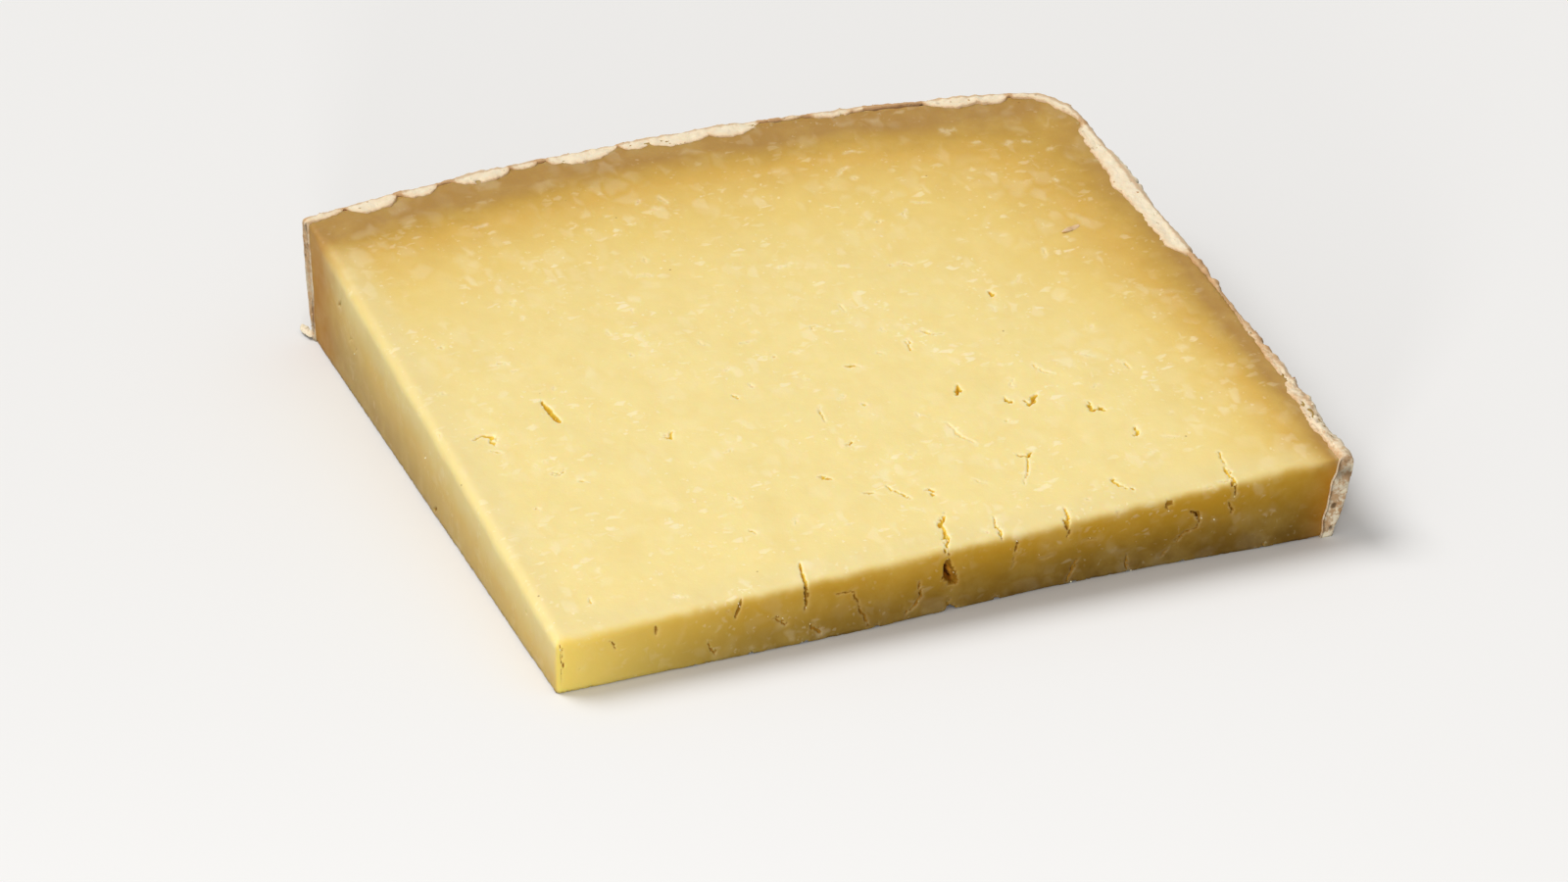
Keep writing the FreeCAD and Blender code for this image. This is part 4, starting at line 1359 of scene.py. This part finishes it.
def paste_finish(look):
    """Pressed curd: golden near the crust, with pale flecks, open slits and a waxy surface."""
    finish = Finish("Cheese paste")
    broad = finish.noise(30 * MM, 3.0, seed=1)
    close = finish.noise(6 * MM, 3.0, seed=2)
    fine = finish.noise(1.3 * MM, 3.0, seed=3)
    ripe = finish.attribute("ripeness") * (0.80 + 0.40 * broad) + 0.16 * (close - 0.5)
    base = finish.ramp(ripe, (
        (0.00, look.heart),
        (0.28, look.ripe),
        (0.58, look.golden),
        (0.80, look.brown),
        (1.00, look.under_crust),
    ))

    # Painted shade: the cut sides are painted darker and deeper in colour toward the foot, most of all on the
    # front cut.
    down = finish.attribute("past_edge") + 2.6 * (close - 0.5)
    front = finish.attribute("front_cut")
    low = down * (1 / 28)
    front_painted_shading = finish.ramp(low, (
        (0.06, look.front_shade_top),
        (0.17, look.front_shade_high),
        (0.46, look.front_shade_low),
        (0.66, look.front_shade_foot),
    ))
    left_painted_shading = finish.ramp(low, ((0.14, look.heart), (0.44, look.left_shade_high), (0.82, look.left_shade_low)))
    # Painted light near the sharp corner: there the front cut fades to the brighter Thin colour.
    front_painted_shading = finish.mix(finish.attribute("corner"), front_painted_shading, look.thin)
    side = finish.mix(front, left_painted_shading, front_painted_shading)
    browned = finish.step(ripe, 0.30, 1.0)
    # Near the crust the sides take the browned paste in the sides' painted shade.
    side = finish.mix(0.8 * browned, side, look.side_ripe_shaded)
    on_side = finish.step(down, 0.4, 3.6)
    base = finish.mix(on_side, base, side)

    # Painted sheen: along the upper edges of the cuts the paste is painted a little greyer and paler, as the
    # rounded edge catches the light.
    band = finish.step(down, -9, -1) * (1 - finish.step(down, 0.6, 2.6)) * (1 - finish.step(ripe, 0.5, 0.95))
    base = finish.mix(0.55 * band, base, look.edge)

    # Curds: each has a slightly different tone, and torn ones are pale flecks with soft outlines.
    mottled = finish.step(finish.noise(9 * MM, 4.0, 0.6, seed=4), 0.40, 0.72)
    base = finish.mix(0.14 * mottled, base, look.ripe)
    curd = finish.cells(5.5 * MM, 5, "Color", stretch=(1, 0.8, 1), warp=0.9)
    tone = finish.add("ShaderNodeSeparateColor", {}, {"Color": curd}, "Red")
    border = finish.cells(5.5 * MM, 5, "Distance", "DISTANCE_TO_EDGE", (1, 0.8, 1), warp=0.9)
    # On the cut sides the pale patches, flecks and torn borders below are weakened, to go with the sides'
    # painted shade.
    patchy = 0.13 * finish.step(tone, 0.45, 1.0) * finish.step(border, 0, 0.3) * (1 - 0.6 * on_side)
    base = finish.mix(patchy, base, look.fleck)
    pale = fleck_mask(finish, 3.0 * MM, 6, (1, 0.6, 1), 0.84)
    small = fleck_mask(finish, 1.6 * MM, 7, (0.6, 1, 1), 0.86)
    tiny = fleck_mask(finish, 0.8 * MM, 8, (1, 1, 1), 0.90)
    flecks = finish.math("MAXIMUM", finish.math("MAXIMUM", 0.55 * pale, 0.9 * small), 0.9 * tiny)
    flecks = flecks * finish.step(finish.noise(13 * MM, 2.0, seed=16), 0.35, 0.62)
    whiteness = (0.58 - 0.40 * finish.step(ripe, 0.1, 0.9)) * (1 - 0.62 * on_side)
    base = finish.mix(flecks * whiteness, base, look.fleck)

    # Openings: a pale torn border, golden walls, and painted shade: a deeper orange in the deep ones, brown
    # on the cut sides, dark brown at the bottom of the deepest.
    sunk = finish.attribute("opening")
    torn = finish.attribute("torn")
    base = finish.mix(torn * (0.10 + 0.42 * close) * (1 - 0.8 * on_side), base, look.fleck)
    inside = finish.mix(on_side, look.inside, look.crack)
    base = finish.mix(finish.step(sunk, 0.06, 0.50), base, inside)
    base = finish.mix(finish.step(sunk, 1.4, 2.4), base, look.depth)
    base = finish.mix(finish.step(sunk, 2.6, 3.9), base, look.deep_pit_shade_and_speck)
    # Small dark specks, strewn by chance, take that same dark colour.
    speck = 1 - finish.step(finish.cells(13 * MM, 9, "Distance"), 0.012, 0.026)
    base = finish.mix(0.55 * speck, base, look.deep_pit_shade_and_speck)

    relief = 0.55 * fine + 0.30 * flecks + 0.15 * finish.noise(0.45 * MM, 2.0, seed=10)
    normal = finish.bump(relief, 0.10 * MM, 0.8)
    rough = 0.46 + 0.20 * close + 0.10 * flecks
    constants = {
        "Subsurface Weight": 0.30,
        "Subsurface Radius": (1.0, 0.55, 0.16),
        "Subsurface Scale": 4.0 * MM,
        "Specular IOR Level": 0.14,
    }
    return finish.shade(constants, {"Base Color": base, "Roughness": rough, "Normal": normal})


def fleck_mask(finish, size, seed, stretch, rarity):
    """Pale flecks: chance cells only, whole in the middle and soft at their outline."""
    chance = finish.cells(size, seed, "Color", stretch=stretch, warp=0.8)
    pick = finish.add("ShaderNodeSeparateColor", {}, {"Color": chance}, "Green")
    border = finish.cells(size, seed, "Distance", "DISTANCE_TO_EDGE", stretch, warp=0.8)
    return finish.step(pick, rarity, rarity + 0.12) * finish.step(border, 0.0, 0.26)


def crust_finish(look):
    """Rind: tan and brown, under a pale dusty bloom that the pits and cracks break, and painted darker in
    those pits and cracks: their own brown and painted shade.
    """
    finish = Finish("Cheese crust")
    broad = finish.noise(13 * MM, 4.0, 0.6, seed=11)
    close = finish.noise(3.2 * MM, 4.0, 0.6, seed=12)
    fine = finish.noise(0.9 * MM, 3.0, 0.6, seed=13)
    bloom_here = finish.attribute("bloom")
    pit = finish.attribute("pit")
    cut = finish.attribute("cut")
    dusted = bloom_here + 0.75 * (broad - 0.5) + 0.75 * (close - 0.5) + 0.5 * (fine - 0.5)
    base = finish.mix(finish.step(broad, 0.3, 0.7), look.tan, look.peach)
    base = finish.mix(0.55 * finish.step(close, 0.48, 0.70), base, look.rind_dark_and_pit_shade)
    bloom = finish.mix(finish.step(close, 0.35, 0.70), look.bloom, look.peach)
    bloom = finish.mix(0.30, look.bloom, bloom)
    base = finish.mix(finish.step(dusted, 0.30, 0.66), base, bloom)

    # A peach fringe and a thin brown line along the paste, and another along the outer edge.
    fringe = 1 - finish.step(finish.attribute("inner_edge") + 1.6 * (close - 0.5), 0.5, 1.9)
    base = finish.mix(0.45 * fringe, base, look.peach)
    inner_line = 1 - finish.step(finish.attribute("inner_edge") + 1.2 * (fine - 0.5), 0.1, 0.8)
    base = finish.mix(0.60 * inner_line, base, look.tan)
    rim = 1 - finish.step(finish.attribute("outer_edge") + 1.0 * (close - 0.5), 0.3, 1.1)
    base = finish.mix(0.6 * rim, base, look.tan)

    # Where the crust is cut through, it is mottled beige and brown.
    mottle = finish.step(close + 0.5 * (fine - 0.5), 0.42, 0.58)
    cut_tone = finish.mix(mottle, look.tan, look.bloom)
    base = finish.mix(0.75 * cut, base, cut_tone)
    seam = 1 - finish.step(finish.attribute("seam") + 1.1 * (close - 0.5), 0.1, 0.7)
    base = finish.mix(0.75 * seam, base, look.rind_dark_and_pit_shade)
    # The pits and cracks are painted dark: partly the rind's own brown, partly painted shade in them.
    base = finish.mix(0.85 * finish.step(pit, 0.15, 0.8), base, look.rind_dark_and_pit_shade)
    speck = 1 - finish.step(finish.cells(2.6 * MM, 14, "Distance"), 0.10, 0.22)
    base = finish.mix(0.40 * speck * finish.step(broad, 0.45, 0.65), base, look.rind_dark_and_pit_shade)
    relief = 0.6 * fine + 0.4 * finish.noise(0.35 * MM, 2.0, seed=15)
    normal = finish.bump(relief, 0.22 * MM, 1.0)
    rough = 0.72 + 0.2 * close
    constants = {"Subsurface Weight": 0.05, "Subsurface Scale": 1.2 * MM, "Specular IOR Level": 0.3}
    return finish.shade(constants, {"Base Color": base, "Roughness": rough, "Normal": normal})


def grain_finish(name, first, second, seed):
    """Small grains, of two colours mixed by chance."""
    finish = Finish(name)
    tone = finish.noise(2.2 * MM, 3.0, seed=seed)
    base = finish.mix(finish.step(tone, 0.38, 0.62), first, second)
    normal = finish.bump(finish.noise(0.3 * MM, 2.0, seed=seed + 1), 0.08 * MM, 0.8)
    rough = 0.6 + 0.3 * tone
    constants = {"Subsurface Weight": 0.1, "Subsurface Scale": 1.0 * MM, "Specular IOR Level": 0.3}
    return finish.shade(constants, {"Base Color": base, "Roughness": rough, "Normal": normal})


def stage_finish(tone, bounce):
    """A matt floor: pale to the eye and in reflections, darker where it only throws light back."""
    finish = Finish("Stage floor")
    path = finish.add("ShaderNodeLightPath", {}, {}, "Is Camera Ray")
    rays = path.socket.node.outputs
    seen = finish.math("MAXIMUM", path, Wire(finish, rays["Is Glossy Ray"]))
    seen = finish.math("MAXIMUM", seen, Wire(finish, rays["Is Transmission Ray"]))
    base = finish.mix(seen, (bounce, bounce, bounce), tone)
    return finish.shade({"Specular IOR Level": 0.0, "Roughness": 1.0}, {"Base Color": base})


# ---------------------------------------------------------------------------------------- operators


def settings():
    """The sidebar's groups of sizes and colours."""
    scene = bpy.context.scene
    return scene.cheese_shape, scene.cheese_paste, scene.cheese_crust, scene.cheese_look, scene.cheese_stage


def values_of(piece, name):
    """One of a piece's stored attributes, as an array."""
    data = piece.data.attributes[name].data
    values = np.zeros(len(data), np.float32)
    data.foreach_get("value", values)
    return values


def hand_over(piece):
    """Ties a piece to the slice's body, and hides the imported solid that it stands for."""
    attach(piece, BODY)
    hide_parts(NODE)


class CHEESE_OT_paste(bpy.types.Operator):
    """Makes the paste with its slits, pits and tears"""

    bl_idname = "cheese.paste"
    bl_label = "Make paste"

    def execute(self, context):
        shape, paste, _, look, _ = settings()
        hand_over(make_paste(shape, paste, paste_finish(look)))
        return {"FINISHED"}


class CHEESE_OT_crust(bpy.types.Operator):
    """Makes the lumpy crust along the end face, the shoulder and the wall"""

    bl_idname = "cheese.crust"
    bl_label = "Make crust"

    def execute(self, context):
        shape, _, crust, look, _ = settings()
        hand_over(make_crust(shape, crust, crust_finish(look)))
        return {"FINISHED"}


class CHEESE_OT_grains(bpy.types.Operator):
    """Strews loose curd crumbs in the paste's openings and grains over the crust"""

    bl_idname = "cheese.grains"
    bl_label = "Strew grains"

    def execute(self, context):
        look = settings()[3]
        paste = bpy.data.objects["cheese_paste"]
        crust = bpy.data.objects["cheese_crust"]
        torn = np.clip(values_of(paste, "torn"), 0, 1) * (values_of(paste, "ripeness") < 0.9)
        curd = grain_finish("Curd crumbs", look.heart, look.fleck, 21)
        crumbs = strew("curd_crumbs", paste, torn, curd, 3, 7, 0.10, 0.34, 0.10)
        rind = grain_finish("Crust grains", look.tan, look.bloom, 31)
        heights = np.array([point.co.z for point in crust.data.vertices])
        share = (0.25 + 0.75 * values_of(crust, "bloom")) * smooth(1.5 * MM, 3 * MM, heights)
        grains = strew("crust_grains", crust, share, rind, 5, 8, 0.12, 0.42, 0.12)
        hand_over(crumbs)
        hand_over(grains)
        return {"FINISHED"}


class CHEESE_OT_flakes(bpy.types.Operator):
    """Makes the loose chip of crust beside the left cut and the scar on the top"""

    bl_idname = "cheese.flakes"
    bl_label = "Make flakes"

    def execute(self, context):
        shape = settings()[0]
        origin = np.array([*corner_of_foot(), 0])
        chip_place = np.array([0.3 * MM, 171.8 * MM, 0.9 * MM])
        scar_place = np.array([167.4 * MM, 104.5 * MM, 0])
        scar_place[2] = paste_height(shape, scar_place[0], scar_place[1])
        material = bpy.data.materials["Cheese crust"]
        # Name, place, length, breadth, thickness, turn, seed and bloom.
        for name, place, *form in (
            ("rind_flake", chip_place, 5.6 * MM, 2.3 * MM, 1.1 * MM, 1.68, 2.0, 0.7),
            ("scar_flake", scar_place, 5.4 * MM, 1.6 * MM, 0.5 * MM, 0.28, 5.0, 0.3),
        ):
            hand_over(make_flake(name, material, origin + place, *form))
        return {"FINISHED"}


class CHEESE_OT_stage(bpy.types.Operator):
    """Sets the floor, the lamps and the camera"""

    bl_idname = "cheese.stage"
    bl_label = "Set stage"

    def execute(self, context):
        stage = settings()[4]
        half = stage.floor_size / 2
        corners = [(-half, -half, 0), (half, -half, 0), (half, half, 0), (-half, half, 0)]
        floor = make_mesh("floor", corners, [(0, 1, 2, 3)], stage_finish((0.84, 0.832, 0.823), 0.14))

        world = bpy.data.worlds.new("Stage")
        world.use_nodes = True
        background = world.node_tree.nodes["Background"]
        background.inputs["Color"].default_value = (1.0, 0.99, 0.97, 1)
        background.inputs["Strength"].default_value = 0.50
        context.scene.world = world
        self.light("key", "SUN", (-0.60, 0.70, 1.25), (0, 0, 0), energy=1.95, angle=math.radians(34))
        self.light("fill", "AREA", (-0.45, -0.80, 0.12), (-0.06, -0.08, 0.01), energy=3.8, size=0.16)

        target = Vector(stage.target)
        camera_data = bpy.data.cameras.new("camera")
        camera_data.lens = stage.lens
        camera_data.sensor_width = 36
        camera_data.clip_end = 40
        camera = bpy.data.objects.new("camera", camera_data)
        level = math.cos(stage.elevation)
        bearing = (math.sin(-stage.azimuth) * level, math.cos(stage.azimuth) * level)
        way = Vector((*bearing, -math.sin(stage.elevation)))
        camera.location = target - way * stage.distance
        camera.rotation_euler = way.to_track_quat("-Z", "Y").to_euler()
        context.collection.objects.link(camera)
        context.scene.camera = camera
        context.scene.view_settings.view_transform = "Standard"
        return {"FINISHED"}

    @staticmethod
    def light(name, kind, source, target, **traits):
        """A soft lamp that shines from the source toward the target."""
        data = bpy.data.lights.new(name, kind)
        for trait, value in traits.items():
            setattr(data, trait, value)
        lamp = bpy.data.objects.new(name, data)
        lamp.rotation_euler = (Vector(source) - Vector(target)).to_track_quat("Z", "Y").to_euler()
        lamp.location = source
        bpy.context.collection.objects.link(lamp)


OPERATORS = (CHEESE_OT_stage, CHEESE_OT_paste, CHEESE_OT_crust, CHEESE_OT_grains, CHEESE_OT_flakes)


class CHEESE_PT_sidebar(bpy.types.Panel):
    """Sizes, colours and steps of the cheese slice"""

    bl_idname = "CHEESE_PT_sidebar"
    bl_label = "Cheese slice"
    bl_space_type = "VIEW_3D"
    bl_region_type = "UI"
    bl_category = "Cheese"

    def draw(self, context):
        for group in settings():
            box = self.layout.box()
            for name in type(group).__annotations__:
                box.prop(group, name)
        for operator in OPERATORS:
            self.layout.operator(operator.bl_idname)


GROUPS = {
    "cheese_shape": CheeseShape,
    "cheese_paste": PasteShape,
    "cheese_crust": CrustShape,
    "cheese_look": CheeseLook,
    "cheese_stage": StageShape,
}


def register():
    for kind in (*GROUPS.values(), *OPERATORS, CHEESE_PT_sidebar):
        bpy.utils.register_class(kind)
    for name, kind in GROUPS.items():
        setattr(bpy.types.Scene, name, PointerProperty(type=kind))


def unregister():
    for name in GROUPS:
        delattr(bpy.types.Scene, name)
    for kind in reversed((*GROUPS.values(), *OPERATORS, CHEESE_PT_sidebar)):
        bpy.utils.unregister_class(kind)


def main():
    register()
    bpy.ops.cheese.stage()
    bpy.ops.cheese.paste()
    bpy.ops.cheese.crust()
    bpy.ops.cheese.grains()
    bpy.ops.cheese.flakes()


if __name__ == "__main__":
    main()
